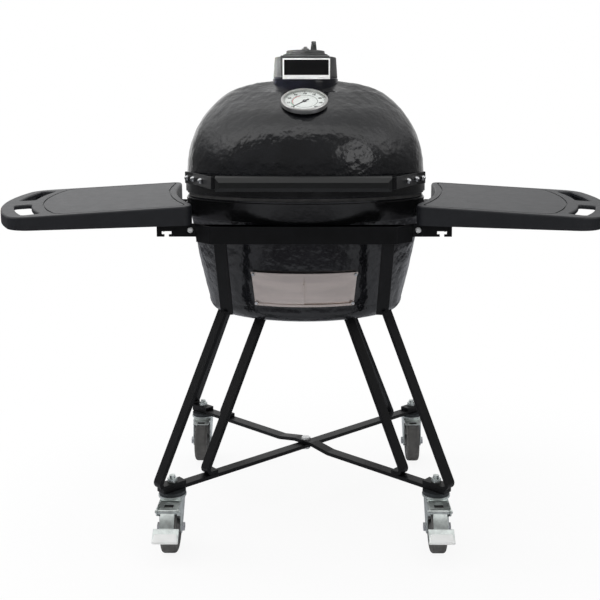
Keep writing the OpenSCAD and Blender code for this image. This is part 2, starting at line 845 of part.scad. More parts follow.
module cap_plate() {
    piece([0.12, 0.12, 0.13]) translate([-plate_w / 2, -cap_r - plate_t, collar_z + (cap_h - plate_h) / 2])
        difference() {
            cube([plate_w, plate_t, plate_h]);
            translate([4, -1, 4]) cube([plate_w - 8, 2, plate_h - 8]);
        }
}

module vent_disc() {
    tab_x = 18;
    tab_t = 8;
    piece([0.3, 0.3, 0.3]) translate([0, 0, disc_z]) difference() {
        union() {
            cylinder(r1 = disc_r, r2 = disc_r - 1.5, h = disc_t);
            translate([tab_x - tab_w / 2, -tab_t / 2, 0]) cube([tab_w, tab_t, disc_t + tab_h]);
        }
        translate([0, 0, -1]) rotate([0, 0, 60]) draught_holes(3 * disc_t);
        translate([0, 0, -1]) cylinder(r = vent_bolt_r + run_gap, h = 3 * disc_t);
    }
}

module vent_bolt() {
    top = disc_z + disc_t + gap;
    low = cap_top - cap_wall;
    piece([0.65, 0.65, 0.66]) {
        translate([0, 0, low - 6]) cylinder(r = vent_bolt_r, h = top - low + 8);
        translate([0, 0, top]) cylinder(r = 2 * vent_bolt_r, h = 5, $fn = 6);
        translate([0, 0, low - 6]) cylinder(r = 2 * vent_bolt_r, h = 6, $fn = 6);
    }
}

// Draft door

// Sheet bent round the front arc: from one angle to another, between two heights, at a distance off the wall
module front_sheet(from, angle, low, high, off, t) {
    d_low = draft_d - (draft_z - low) * draft_lean;
    d_high = draft_d + (high - draft_z) * draft_lean;
    translate([0, oval_k, 0]) rotate([0, 0, 270 + from]) rotate_extrude(angle = angle)
        translate([side_r + off, 0])
            polygon([[d_low, low], [d_low + t, low], [d_high + t, high], [d_high, high]]);
}

module draft_frame() {
    low = draft_z - draft_h / 2;
    high = draft_z + draft_h / 2;
    out = wall_gap + sheet + sheet + 2 * gap;
    piece([0.72, 0.69, 0.66]) {
        difference() {
            front_sheet(-draft_a / 2, draft_a, low, high, wall_gap, sheet);
            air_cut(air_a, air_h, wall);
        }
        for (z = [low, high - rail_lip])
            front_sheet(-draft_a / 2, draft_a, z, z + rail_lip, out, sheet);
        for (z = [low, high - sheet])
            front_sheet(-draft_a / 2, draft_a, z, z + sheet, wall_gap, out + sheet - wall_gap);
    }
}

module draft_door() {
    low = draft_z - draft_h / 2 + sheet + gap;
    high = draft_z + draft_h / 2 - sheet - gap;
    off = wall_gap + sheet + gap;
    lip_a = 0.4;
    piece([0.74, 0.71, 0.68]) {
        front_sheet(door_at - door_a / 2, door_a, low, high, off, sheet);
        front_sheet(door_at + door_a / 2 - lip_a, lip_a, draft_z - 14, draft_z + 14, off, 10);
    }
}

module draft_screws() {
    out = wall_gap + 3 * sheet + 2 * gap;
    head_h = 2.5;
    up = draft_h / 2 - rail_lip;
    piece([0.8, 0.8, 0.8]) for (side = [-1, 1], z = [-up, up])
        translate([0, oval_k, draft_z + z]) rotate([0, 0, side * (draft_a / 2 - 1.2)])
            translate([0, -side_r - draft_d - z * draft_lean - out, 0]) rotate([90 + atan(draft_lean), 0, 0])
                translate([0, 0, 0.1]) cylinder(r1 = screw_r, r2 = screw_r - 1, h = head_h);
}

// Cradle and stand

// T-shaped hanging notch near an arm's end, open downwards
module notch(end, low) {
    step = 5;
    for (side = [-1, 1]) translate([side * (end - notch_in), arm_y - cradle_t, low]) {
        translate([-mouth_w / 2, 0, -1]) cube([mouth_w, 2 * cradle_t, step + 2]);
        translate([-notch_w / 2, 0, step]) cube([notch_w, 2 * cradle_t, step + 1]);
    }
}

// Bar across the front or the back, with an arm at each end
module cradle(rise, end) {
    low = arm_z - arm_h + rise;
    turn = 35;
    knuckle = [cradle_x, cradle_y];
    bend = [cradle_x + turn, arm_y];
    plate_end = bend - unit(bend - knuckle) * cradle_t;
    difference() {
        union() {
            bent_plate(
                [[-plate_end[0], plate_end[1]], [-cradle_x, cradle_y], knuckle, plate_end],
                cradle_bar_t, cradle_z, cradle_z + cradle_h
            );
            for (side = [1, -1]) corner(side, 1)
                bent_plate([(knuckle + bend) / 2, bend, [end, arm_y]], cradle_t, low, low + arm_h);
        }
        notch(end, low);
    }
}

module cradle_front() {
    piece([0.05, 0.05, 0.06]) mirror([0, 1, 0]) cradle(0, shelf_in + arm_lap);
}

module cradle_rear() {
    piece([0.05, 0.05, 0.06]) cradle(2 * arm_y * tan(shelf_tilt), shelf_in + arm_lap + arm_more);
}

// Frame of a shelf: its origin is under the shelf, at the middle of the front arm's upper edge
module shelf_frame() {
    translate([0, -arm_y, arm_z + gap]) rotate([shelf_tilt, 0, 0]) translate([0, arm_y, 0]) children();
}

// Rail between a front and a rear arm, under the grill end of the shelf
module shelf_rail() {
    l = 2 * (arm_y - cradle_t / 2 - 2 * gap) - 2;
    h = arm_h - 9;
    shelf_frame() translate([shelf_in + nest_d - cradle_t / 2, -l / 2, -h]) cube([cradle_t, l, h]);
}

module left_shelf_rail() {
    piece([0.05, 0.05, 0.06]) corner(-1, 1) shelf_rail();
}

module right_shelf_rail() {
    piece([0.05, 0.05, 0.06]) shelf_rail();
}

// Everything above a plane that falls towards the tip, lowered by depth
module above_top(depth) {
    translate([0, -shelf_l, shelf_h - depth]) rotate([0, shelf_fall, 0])
        translate([-shelf_l, 0, 0]) cube([4 * shelf_l, 2 * shelf_l, 4 * shelf_h]);
}

// Groove round the flat panel, square to the top
module panel_groove() {
    tip = shelf_l - panel_end + panel_in;
    translate([0, 0, shelf_h]) rotate([0, shelf_fall, 0]) translate([0, 0, -panel_d])
        linear_extrude(2 * panel_d) difference() {
            polygon(shelf_outline(panel_in, tip));
            polygon(shelf_outline(panel_in + groove_w, tip));
        }
}

module shelf_moulding() {
    difference() {
        linear_extrude(shelf_h) polygon(shelf_outline(0, shelf_l));
        above_top(0);
        panel_groove();
        difference() {
            translate([0, 0, -1]) linear_extrude(shelf_h) polygon(shelf_outline(shelf_wall, shelf_l));
            above_top(panel_d + shelf_wall);
            shelf_ribs();
        }
        for (side = [0, 1]) mirror([0, side, 0]) translate([shelf_l - tip_r, 0, -1])
            linear_extrude(2 * shelf_h) polygon(slot_outline());
    }
}

// Stiffening ribs under the shelf, with a wall round each hand slot
module shelf_ribs() {
    wall_r = tip_r - slot_in - slot_w - shelf_wall;
    wall_a = slot_to + 1.5;
    for (y = [-0.5, 0, 0.5]) translate([0, y * shelf_half - shelf_wall / 2, -1])
        cube([shelf_l - panel_end, shelf_wall, 2 * shelf_h]);
    for (x = [0.13, 0.4, 0.65]) translate([x * shelf_l, -shelf_half, -1])
        cube([shelf_wall, 2 * shelf_half, 2 * shelf_h]);
    translate([shelf_l - tip_r, 0, -1]) rotate([0, 0, -wall_a]) rotate_extrude(angle = 2 * wall_a)
        translate([wall_r, 0]) square([slot_w + 2 * shelf_wall, 2 * shelf_h]);
}

module shelf_in_place() {
    shelf_frame() translate([shelf_in, 0, 0]) rotate([0, 0, -shelf_sweep]) shelf_moulding();
}

module left_shelf() {
    piece([0.28, 0.28, 0.29]) corner(-1, 1) shelf_in_place();
}

module right_shelf() {
    piece([0.28, 0.28, 0.29]) shelf_in_place();
}

// Upright flat bar from p to q with its width along X
module upright(p, q) {
    v = q - p;
    lean_y = asin(v[0] / norm(v));
    lean_x = -atan2(v[1], v[2]);
    translate(p) rotate([lean_x, 0, 0]) rotate([0, lean_y, 0])
        translate([-bar_w / 2, -bar_t / 2, 0]) cube([bar_w, bar_t, norm(v)]);
}

module leg() {
    foot_mid = foot_z + bar_t / 2;
    bend_r = stem_r_out + foot_out;
    difference() {
        union() {
            rotate([0, 0, diagonal])
                bent_bar([[stem_r_out - bar_w, foot_mid], [bend_r, foot_mid], [knee_r, knee_z]], bar_w, bar_t);
            upright(
                [knee_r * cos(diagonal) - 8, knee_r * sin(diagonal) - 2, knee_z - 8],
                [cradle_x - bar_w / 2 - 2, cradle_y - cradle_bar_t / 2 - bar_t / 2 - 2, cradle_z + 28]
            );
        }
        translate([stem_x, stem_y, 0]) cylinder(r = bolt_r + gap, h = foot_z + 2 * bar_t);
    }
}

module strut() {
    foot_mid = foot_z + bar_t / 2;
    pad_run = 2.4 * bar_w;
    rotate([0, 0, diagonal]) bent_bar([
        [strut_foot_r - 28, foot_mid], [strut_foot_r, foot_mid],
        [strut_top_r, pad_z], [strut_top_r - pad_run, pad_z]
    ], bar_w, bar_t);
}

module front_left_leg() {
    piece([0.05, 0.05, 0.06]) corner(-1, -1) leg();
}

module front_right_leg() {
    piece([0.05, 0.05, 0.06]) corner(1, -1) leg();
}

module rear_left_leg() {
    piece([0.05, 0.05, 0.06]) corner(-1, 1) leg();
}

module rear_right_leg() {
    piece([0.05, 0.05, 0.06]) corner(1, 1) leg();
}

module front_left_strut() {
    piece([0.05, 0.05, 0.06]) corner(-1, -1) strut();
}

module front_right_strut() {
    piece([0.05, 0.05, 0.06]) corner(1, -1) strut();
}

module rear_left_strut() {
    piece([0.05, 0.05, 0.06]) corner(-1, 1) strut();
}

module rear_right_strut() {
    piece([0.05, 0.05, 0.06]) corner(1, 1) strut();
}

// Brace bar along the plan diagonal, lifted over the other one where they cross
module brace(lift) {
    reach = foot_tip - bar_t;
    mid = brace_z + bar_t / 2;
    flat = bar_w;
    run = 2 * bar_w;
    difference() {
        rotate([0, 0, diagonal])
            if (lift > 0)
                bent_bar([
                    [-reach, mid], [-run - flat, mid], [-flat, mid + lift],
                    [flat, mid + lift], [run + flat, mid], [reach, mid]
                ], bar_w, bar_t);
            else
                bent_bar([[-reach, mid], [reach, mid]], bar_w, bar_t);
        for (side = [-1, 1]) translate([side * stem_x, side * stem_y, 0])
            cylinder(r = bolt_r + gap, h = foot_z + 2 * bar_t);
        cylinder(r = bolt_r + gap, h = foot_z + 2 * bar_t);
    }
}

module brace_bar_a() {
    piece([0.05, 0.05, 0.06]) brace(0);
}

module brace_bar_b() {
    piece([0.05, 0.05, 0.06]) mirror([1, 0, 0]) brace(bar_t + gap);
}

module frame_bolts() {
    head_h = 5;
    bolt_x = cradle_x + 46;
    piece([0.6, 0.6, 0.62]) {
        translate([0, 0, brace_z - head_h]) cylinder(r = bolt_r, h = 2 * bar_t + gap + 2 * head_h);
        translate([0, 0, brace_z - head_h]) cylinder(r = 1.7 * bolt_r, h = head_h, $fn = 6);
        translate([0, 0, brace_z + 2 * bar_t + gap]) cylinder(r = 1.7 * bolt_r, h = head_h, $fn = 6);
        for (x = [-1, 1], y = [-1, 1]) {
            rise = y > 0 ? 2 * arm_y * tan(shelf_tilt) : 0;
            corner(x, y) translate([bolt_x, arm_y + cradle_t / 2, arm_z - arm_h / 2 + rise])
                rotate([-90, 0, 0]) cylinder(r1 = bolt_r, r2 = bolt_r - 1.5, h = head_h);
        }
    }
}

// Casters, each seen from its stem's foot on the floor

module caster_stems() {
    nut_h = 8;
    top = foot_z + bar_t;
    foot = race_z - fork_t - 1 - gap - 2.5;
    piece([0.66, 0.68, 0.7]) for (x = [-1, 1], y = [-1, 1]) translate([x * stem_x, y * stem_y, 0]) {
        translate([0, 0, race_z + race_h + gap]) cylinder(r = race_r - 1, h = brace_z - race_z - race_h - gap);
        translate([0, 0, foot]) cylinder(r = bolt_r, h = top + nut_h + 6 - foot);
        translate([0, 0, foot]) cylinder(r = 1.5 * bolt_r, h = 2.5);
        translate([0, 0, top]) cylinder(r = 1.7 * bolt_r, h = nut_h, $fn = 6);
    }
}

// Outline of a fork's cheek in the plane of Y and Z
module cheek(braked) {
    boss = 13;
    top = race_z;
    difference() {
        union() {
            polygon([
                [24, top], [-30, top], [-30, top - 14], [-trail - boss, wheel_r], [-trail + boss, wheel_r],
                [24, top - 12]
            ]);
            translate([-trail, wheel_r]) circle(boss);
            if (braked) {
                translate([pivot_y, pivot_z]) circle(8);
                polygon([
                    [-28, top], [pivot_y, pivot_z + 8], [pivot_y - 7, pivot_z - 4], [-30, wheel_r + 24],
                    [-24, top - 20]
                ]);
            }
        }
        translate([-trail, wheel_r]) circle(axle_r + run_gap);
        if (braked) translate([pivot_y, pivot_z]) circle(pedal_pin_r + run_gap);
    }
}

module fork(x, y) {
    half = fork_gap / 2;
    braked = y < 0;
    piece([0.62, 0.64, 0.66]) translate([x * stem_x, y * stem_y, 0]) difference() {
        union() {
            translate([0, 0, race_z]) cylinder(r = race_r, h = race_h);
            translate([-half - fork_t, -30, race_z - fork_t - 1]) cube([fork_gap + 2 * fork_t, 54, fork_t + 1]);
            for (side = [-1, 1]) translate([side * (half + fork_t / 2) - fork_t / 2, 0, 0])
                rotate([90, 0, 90]) linear_extrude(fork_t) cheek(braked);
        }
        translate([0, 0, race_z - 2 * race_h]) cylinder(r = bolt_r + run_gap, h = 4 * race_h);
    }
}

module axle(x, y) {
    half = fork_gap / 2 + fork_t;
    head_h = 5;
    piece([0.7, 0.71, 0.72]) translate([x * stem_x, y * stem_y - trail, wheel_r]) rotate([0, 90, 0]) {
        cylinder(r = axle_r, h = 2 * half + 2 * head_h, center = true);
        for (z = [-half - head_h, half]) translate([0, 0, z]) cylinder(r = 1.8 * axle_r, h = head_h, $fn = 6);
    }
}

module wheel(x, y) {
    half = tread_w / 2;
    hub = fork_gap / 2 - gap;
    hub_r = 14;
    rim_r = wheel_r - 16;
    web = half - 6;
    edge = 5;
    side = [
        [axle_r + run_gap, hub], [hub_r, hub], [hub_r + 3, web], [rim_r - 3, web], [rim_r, half],
        [wheel_r - edge, half], [wheel_r - 1.2, half - 1.6], [wheel_r, half - edge]
    ];
    other = [for (i = [len(side) - 1 : -1 : 0]) [side[i][0], -side[i][1]]];
    piece([0.3, 0.3, 0.3]) translate([x * stem_x, y * stem_y - trail, wheel_r]) rotate([0, 90, 0])
        rotate_extrude() polygon(concat(side, other));
}

module pedal(x) {
    arm_w = fork_gap - 10;
    arm_half = 2;
    steps = 6;
    arm = [
        for (i = [0 : steps])
            let (a = pedal_angle + (arm_end_a - pedal_angle) * i / steps)
            [-trail - (pedal_out - arm_half) * cos(a), wheel_r + (pedal_out - arm_half) * sin(a)],
        for (i = [steps : -1 : 0])
            let (a = pedal_angle + (arm_end_a - pedal_angle) * i / steps)
            [-trail - (pedal_out + arm_half) * cos(a), wheel_r + (pedal_out + arm_half) * sin(a)]
    ];
    piece([0.85, 0.86, 0.86]) translate([x * stem_x, -stem_y, 0]) {
        translate([-arm_w / 2, 0, 0]) rotate([90, 0, 90]) linear_extrude(arm_w) polygon(arm);
        translate([0, pivot_y, pivot_z]) rotate([0, 90, 0]) {
            cylinder(r = pedal_pin_r + 2, h = fork_gap - 2 * gap, center = true);
            cylinder(r = pedal_pin_r, h = fork_gap + 4 * fork_t, center = true);
        }
        translate([-pad_w / 2, pad_y, pad_top]) rotate([pad_lean, 0, 0])
            translate([0, -pad_l, -pad_t / 2]) cube([pad_w, pad_l, pad_t]);
    }
}

module front_left_fork() { fork(-1, -1); }
module front_right_fork() { fork(1, -1); }
module rear_left_fork() { fork(-1, 1); }
module rear_right_fork() { fork(1, 1); }
module front_left_axle() { axle(-1, -1); }
module front_right_axle() { axle(1, -1); }
module rear_left_axle() { axle(-1, 1); }
module rear_right_axle() { axle(1, 1); }
module front_left_wheel() { wheel(-1, -1); }
module front_right_wheel() { wheel(1, -1); }
module rear_left_wheel() { wheel(-1, 1); }
module rear_right_wheel() { wheel(1, 1); }
module front_left_pedal() { pedal(-1); }
module front_right_pedal() { pedal(1); }

base_shell();
firebox();
fire_grate();
cooking_grate();
base_gasket();
base_band();
hinge_base_bracket();
hinge_pin();
draft_frame();
draft_screws();
draft_door();
lid_shell();
lid_gasket();
lid_band();
hinge_lid_bracket();
handle_straps();
handle_grip();
handle_nuts();
thermometer_bezel();
thermometer_dial();
thermometer_needle();
thermometer_glass();
thermometer_stem();
vent_cap();
cap_plate();
vent_disc();
vent_bolt();
cradle_front();
cradle_rear();
left_shelf_rail();
right_shelf_rail();
left_shelf();
right_shelf();
front_left_leg();
front_right_leg();
rear_left_leg();
rear_right_leg();
front_left_strut();
front_right_strut();
rear_left_strut();
rear_right_strut();
brace_bar_a();
brace_bar_b();
frame_bolts();
caster_stems();
front_left_fork();
front_right_fork();
rear_left_fork();
rear_right_fork();
front_left_axle();
front_right_axle();
rear_left_axle();
rear_right_axle();
front_left_wheel();
front_right_wheel();
rear_left_wheel();
rear_right_wheel();
front_left_pedal();
front_right_pedal();
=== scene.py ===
"""Looks of an oval ceramic kamado grill on a caster stand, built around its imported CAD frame.

Lengths are metres in the CAD frame: +Z up, the front faces -Y, the floor is at Z = 0.
"""

from __future__ import annotations

import json
import logging
import math
import sys
from collections.abc import Callable, Sequence
from dataclasses import dataclass
from enum import Enum
from typing import Any, ClassVar

import bmesh
import bpy
from mathutils import Matrix, Vector, noise

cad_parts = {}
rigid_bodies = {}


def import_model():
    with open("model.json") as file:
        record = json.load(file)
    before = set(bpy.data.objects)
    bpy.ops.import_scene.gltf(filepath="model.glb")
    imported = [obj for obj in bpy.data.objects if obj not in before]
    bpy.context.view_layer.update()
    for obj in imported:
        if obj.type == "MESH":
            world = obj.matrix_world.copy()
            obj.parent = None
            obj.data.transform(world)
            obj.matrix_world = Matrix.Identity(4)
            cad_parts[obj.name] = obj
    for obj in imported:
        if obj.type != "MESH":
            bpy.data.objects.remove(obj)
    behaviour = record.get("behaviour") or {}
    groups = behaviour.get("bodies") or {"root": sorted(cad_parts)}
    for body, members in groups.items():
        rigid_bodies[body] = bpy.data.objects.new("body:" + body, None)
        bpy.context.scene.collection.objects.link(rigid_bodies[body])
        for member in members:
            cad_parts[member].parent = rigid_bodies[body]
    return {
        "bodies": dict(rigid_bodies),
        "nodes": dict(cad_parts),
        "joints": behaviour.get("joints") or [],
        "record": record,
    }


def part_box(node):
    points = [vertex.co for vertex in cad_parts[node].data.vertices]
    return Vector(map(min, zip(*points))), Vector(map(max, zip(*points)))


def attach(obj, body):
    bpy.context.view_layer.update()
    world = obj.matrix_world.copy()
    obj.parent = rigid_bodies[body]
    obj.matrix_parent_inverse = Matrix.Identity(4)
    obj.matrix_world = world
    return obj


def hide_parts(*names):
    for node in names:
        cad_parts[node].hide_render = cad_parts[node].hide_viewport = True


LOG = logging.getLogger("kamado")

Color = tuple[float, float, float]
Triple = tuple[float, float, float]
Span = tuple[float, float]
Shape = bmesh.types.BMesh
Ring = Callable[[float], Vector]
EdgeTest = Callable[[bmesh.types.BMEdge], bool]
FaceTest = Callable[[Vector, Vector], bool]

CORNERS = ("front_left", "front_right", "rear_left", "rear_right")
SIDES = ("left", "right")
ACROSS = Vector((1.0, 0.0, 0.0))
UP = Vector((0.0, 0.0, 1.0))
# Distance below which two points are one
SAME = 1e-6
# Least turn of an edge that is rounded
EDGE_TURN = math.radians(35.0)


class Axis(Enum):
    """Direction of a drawn or brushed grain."""

    NONE = (1.0, 1.0, 1.0)
    ALONG_X = (0.03, 1.0, 1.0)
    ALONG_Y = (1.0, 0.03, 1.0)
    ALONG_Z = (1.0, 1.0, 0.03)


class Join(Enum):
    """How one closed shape works on another."""

    ADD = "UNION"
    CUT = "DIFFERENCE"


class Value:
    """A number socket of a node tree, which takes part in Python's arithmetic."""

    def __init__(self, graph: Graph, socket: bpy.types.NodeSocket) -> None:
        """Keeps the socket and the graph that it belongs to."""
        self.graph = graph
        self.socket = socket

    def _math(self, operation: str, first: Any, second: Any) -> Value:
        """Adds a Math node.

        Args:
            operation: Name of the node's operation.
            first: Number or value for the first input.
            second: Number or value for the second input.

        Returns:
            The node's result.
        """
        made = self.graph.node("ShaderNodeMath", {"operation": operation}, {0: first, 1: second})
        return Value(self.graph, made.outputs[0])

    def __add__(self, other: Any) -> Value:
        """Sum."""
        return self._math("ADD", self, other)

    __radd__ = __add__

    def __sub__(self, other: Any) -> Value:
        """Difference."""
        return self._math("SUBTRACT", self, other)

    def __rsub__(self, other: Any) -> Value:
        """Difference from a number."""
        return self._math("SUBTRACT", other, self)

    def __mul__(self, other: Any) -> Value:
        """Product."""
        return self._math("MULTIPLY", self, other)

    __rmul__ = __mul__

    def rise(self, low: float, high: float) -> Value:
        """Smooth step.

        Args:
            low: Value up to which it is 0.
            high: Value from which it is 1.

        Returns:
            The step.
        """
        made = self.graph.node(
            "ShaderNodeMapRange",
            {"interpolation_type": "SMOOTHSTEP"},
            {"Value": self, "From Min": low, "From Max": high},
        )
        return Value(self.graph, made.outputs["Result"])


class Graph:
    """Node tree of one material or of the world."""

    # Sockets of a Mix node for colours
    MIX_LOW: ClassVar[int] = 6
    MIX_HIGH: ClassVar[int] = 7
    MIX_RESULT: ClassVar[int] = 2

    def __init__(self, tree: bpy.types.NodeTree) -> None:
        """Empties the tree."""
        self.tree = tree
        tree.nodes.clear()

    def node(
        self, kind: str, settings: dict[str, Any] | None = None, inputs: dict[Any, Any] | None = None
    ) -> Any:
        """Adds any node.

        Args:
            kind: The node's type.
            settings: Properties, set first.
            inputs: Numbers, colours, values or sockets for the node's inputs, by name or index.

        Returns:
            The new node.
        """
        made = self.tree.nodes.new(kind)
        for key, setting in (settings or {}).items():
            setattr(made, key, setting)
        for key, given in (inputs or {}).items():
            if isinstance(given, Value):
                given = given.socket
            if isinstance(given, bpy.types.NodeSocket):
                self.tree.links.new(given, made.inputs[key])
            else:
                made.inputs[key].default_value = given
        return made

    def place(self) -> bpy.types.NodeSocket:
        """Coordinates of the surface in the part's frame."""
        return self.node("ShaderNodeTexCoord").outputs["Object"]

    def stretched(self, axis: Axis) -> bpy.types.NodeSocket:
        """Coordinates squeezed along a grain's direction."""
        return self.node("ShaderNodeMapping", None, {"Vector": self.place(), "Scale": axis.value}).outputs[0]

    def noise(self, size: float, octaves: float = 2.0, axis: Axis = Axis.NONE) -> Value:
        """Fractal noise.

        Args:
            size: Width of the largest blobs, in metres.
            octaves: Number of finer layers.
            axis: Direction in which the blobs are drawn out.

        Returns:
            The noise, from 0 to 1.
        """
        made = self.node(
            "ShaderNodeTexNoise",
            None,
            {"Vector": self.stretched(axis), "Scale": 1.0 / size, "Detail": octaves, "Roughness": 0.55},
        )
        return Value(self, made.outputs[0])

    def cells(self, size: float) -> Value:
        """Soft cells round scattered points.

        Args:
            size: Width of a cell, in metres.

        Returns:
            Distance to the nearest point, in cells.
        """
        made = self.node(
            "ShaderNodeTexVoronoi",
            {"feature": "SMOOTH_F1"},
            {"Vector": self.place(), "Scale": 1.0 / size, "Randomness": 1.0, "Smoothness": 0.7},
        )
        return Value(self, made.outputs["Distance"])

    def mix(self, share: Value, low: Any, high: Any) -> bpy.types.NodeSocket:
        """Blend of two colours.

        Args:
            share: 0 gives low, 1 gives high.
            low: Colour or colour socket.
            high: Colour or colour socket.

        Returns:
            The blended colour.
        """
        inputs: dict[int, Any] = {0: share}
        for index, given in ((self.MIX_LOW, low), (self.MIX_HIGH, high)):
            inputs[index] = (*given, 1.0) if isinstance(given, tuple) else given
        return self.node("ShaderNodeMix", {"data_type": "RGBA"}, inputs).outputs[self.MIX_RESULT]

    def blend(self, share: Value, first: Any, second: Any) -> Any:
        """Blend of two shader nodes, of which share 0 gives the first."""
        return self.node("ShaderNodeMixShader", None, {0: share, 1: first.outputs[0], 2: second.outputs[0]})

    def bump(self, height: Value, depth: float, strength: float = 1.0) -> bpy.types.NodeSocket:
        """Normal of a surface with a relief of the given depth in metres."""
        made = self.node("ShaderNodeBump", None, {"Height": height, "Distance": depth, "Strength": strength})
        return made.outputs[0]

    def rays(self, *kinds: str) -> list[Value]:
        """Masks of the rays of the given kinds, such as Camera."""
        path = self.node("ShaderNodeLightPath")
        return [Value(self, path.outputs[f"Is {kind} Ray"]) for kind in kinds]

    def parts(self, vector: bpy.types.NodeSocket) -> list[Value]:
        """X, Y and Z of a vector."""
        made = self.node("ShaderNodeSeparateXYZ", None, {0: vector})
        return [Value(self, socket) for socket in made.outputs]


@dataclass(frozen=True)
class Finish:
    """A surface with slow mottling, fine grain and uneven gloss.

    Attributes:
        name: Name of the material.
        color: Mean colour, linear.
        rough: Mean roughness.
        metallic: 1 for bare metal.
        coat: Weight of a clear glossy layer.
        coat_rough: Roughness of that layer.
        mottle: Strength of the slow change of colour.
        mottle_size: Size of its blobs.
        grain: Depth of the fine relief.
        grain_size: Size of its grains.
        axis: Direction of the grain.
        uneven: How far the roughness changes.
        specular: Level of the plain reflection.
    """

    MADE: ClassVar[dict[str, bpy.types.Material]] = {}
    # Span of the noise over which the colour changes
    CHANGE: ClassVar[Span] = (0.3, 0.7)
    # Size of the gloss's blobs as a share of the colour's
    GLOSS_SIZE: ClassVar[float] = 0.7

    name: str
    color: Color
    rough: float
    metallic: float = 0.0
    coat: float = 0.0
    coat_rough: float = 0.1
    mottle: float = 0.2
    mottle_size: float = 0.03
    grain: float = 0.0001
    grain_size: float = 0.0012
    axis: Axis = Axis.NONE
    uneven: float = 0.08
    specular: float = 0.5

    def relief(self, graph: Graph) -> bpy.types.NodeSocket:
        """Normal of the surface."""
        return graph.bump(graph.noise(self.grain_size, octaves=3.0, axis=self.axis), self.grain)

    def tint(self, graph: Graph) -> bpy.types.NodeSocket:
        """Colour of the surface.

        Args:
            graph: Node tree of the material.

        Returns:
            A colour that wanders round the mean one.
        """
        share = graph.noise(self.mottle_size, octaves=4.0, axis=self.axis)
        low = tuple(c * (1.0 - self.mottle) for c in self.color)
        high = tuple(min(1.0, c * (1.0 + self.mottle)) for c in self.color)
        return graph.mix(share.rise(*self.CHANGE), low, high)

    def gloss(self, graph: Graph) -> Value:
        """Roughness of the surface."""
        wander = graph.noise(self.mottle_size * self.GLOSS_SIZE, octaves=3.0)
        return wander * (2.0 * self.uneven) + (self.rough - self.uneven)

    def surface(self, graph: Graph) -> Any:
        """Shader of the surface.

        Args:
            graph: Node tree of the material.

        Returns:
            A shader node whose colour, roughness and relief come from other nodes.
        """
        return graph.node(
            "ShaderNodeBsdfPrincipled",
            None,
            {
                "Base Color": self.tint(graph),
                "Roughness": self.gloss(graph),
                "Metallic": self.metallic,
                "Coat Weight": self.coat,
                "Coat Roughness": self.coat_rough,
                "Specular IOR Level": self.specular,
                "Normal": self.relief(graph),
            },
        )

    def material(self) -> bpy.types.Material:
        """The finish as a material, made once.

        Returns:
            The material.
        """
        made = self.MADE.get(self.name)
        if not made:
            made = self.MADE[self.name] = bpy.data.materials.new(f"{self.name}_finish")
            made.use_nodes = True
            graph = Graph(made.node_tree)
            graph.node("ShaderNodeOutputMaterial", None, {"Surface": self.surface(graph).outputs[0]})
        return made


@dataclass(frozen=True)
class Glaze(Finish):
    """Thick glossy glaze with soft dimples and pinholes.

    Attributes:
        dimple: Depth of the dimples.
        dimple_size: Their width.
        waves: Share of the slow waves in the relief.
        pits: Share of the cells.
        pit_size: Width of a cell as a share of a dimple's.
        strength: Strength of the relief.
    """

    dimple: float = 0.0011
    dimple_size: float = 0.011
    waves: float = 0.8
    pits: float = 0.6
    pit_size: float = 0.8
    strength: float = 0.9

    def relief(self, graph: Graph) -> bpy.types.NodeSocket:
        """Dimples of two sizes under the fine grain.

        Args:
            graph: Node tree of the material.

        Returns:
            Normal of the surface.
        """
        slow = graph.noise(self.dimple_size)
        cells = graph.cells(self.dimple_size * self.pit_size)
        fine = graph.noise(self.grain_size) * (self.grain / self.dimple)
        return graph.bump(slow * self.waves + cells * self.pits + fine, self.dimple, self.strength)


@dataclass(frozen=True)
class Moulded(Finish):
    """Fine-grained moulded plastic or pressed felt, with small cells in its skin.

    Attributes:
        dust: Share of the finest noise in the relief.
        dust_size: Its size as a share of a cell's.
    """

    dust: float = 0.5
    dust_size: float = 0.4

    def relief(self, graph: Graph) -> bpy.types.NodeSocket:
        """Small cells with noise between them."""
        fine = graph.noise(self.grain_size * self.dust_size) * self.dust
        return graph.bump(graph.cells(self.grain_size) + fine, self.grain)


@dataclass(frozen=True)
class Cast(Finish):
    """Sand-cast iron, pitted at two scales, with paler rubbed grains.

    Attributes:
        hollow: Share of the shallow hollows in the relief.
        hollow_size: Their size in grains.
        rubbed: Span of height over which a grain turns pale.
        pale: Weight of the pale colour.
        pale_gain: How much brighter it is.
        pale_least: Brightness that it adds to any colour.
    """

    hollow: float = 1.5
    hollow_size: float = 4.0
    rubbed: Span = (0.58, 0.75)
    pale: float = 0.6
    pale_gain: float = 1.6
    pale_least: float = 0.02

    def relief(self, graph: Graph) -> bpy.types.NodeSocket:
        """Sand grains over shallow hollows."""
        hollows = graph.noise(self.grain_size * self.hollow_size) * self.hollow
        return graph.bump(graph.noise(self.grain_size, octaves=4.0) + hollows, self.grain)

    def tint(self, graph: Graph) -> bpy.types.NodeSocket:
        """Mottled colour with pale specks on the high grains.

        Args:
            graph: Node tree of the material.

        Returns:
            Colour of the surface.
        """
        specks = graph.noise(self.grain_size, octaves=4.0).rise(*self.rubbed)
        bright = tuple(min(1.0, c * self.pale_gain + self.pale_least) for c in self.color)
        return graph.mix(specks * self.pale, super().tint(graph), bright)


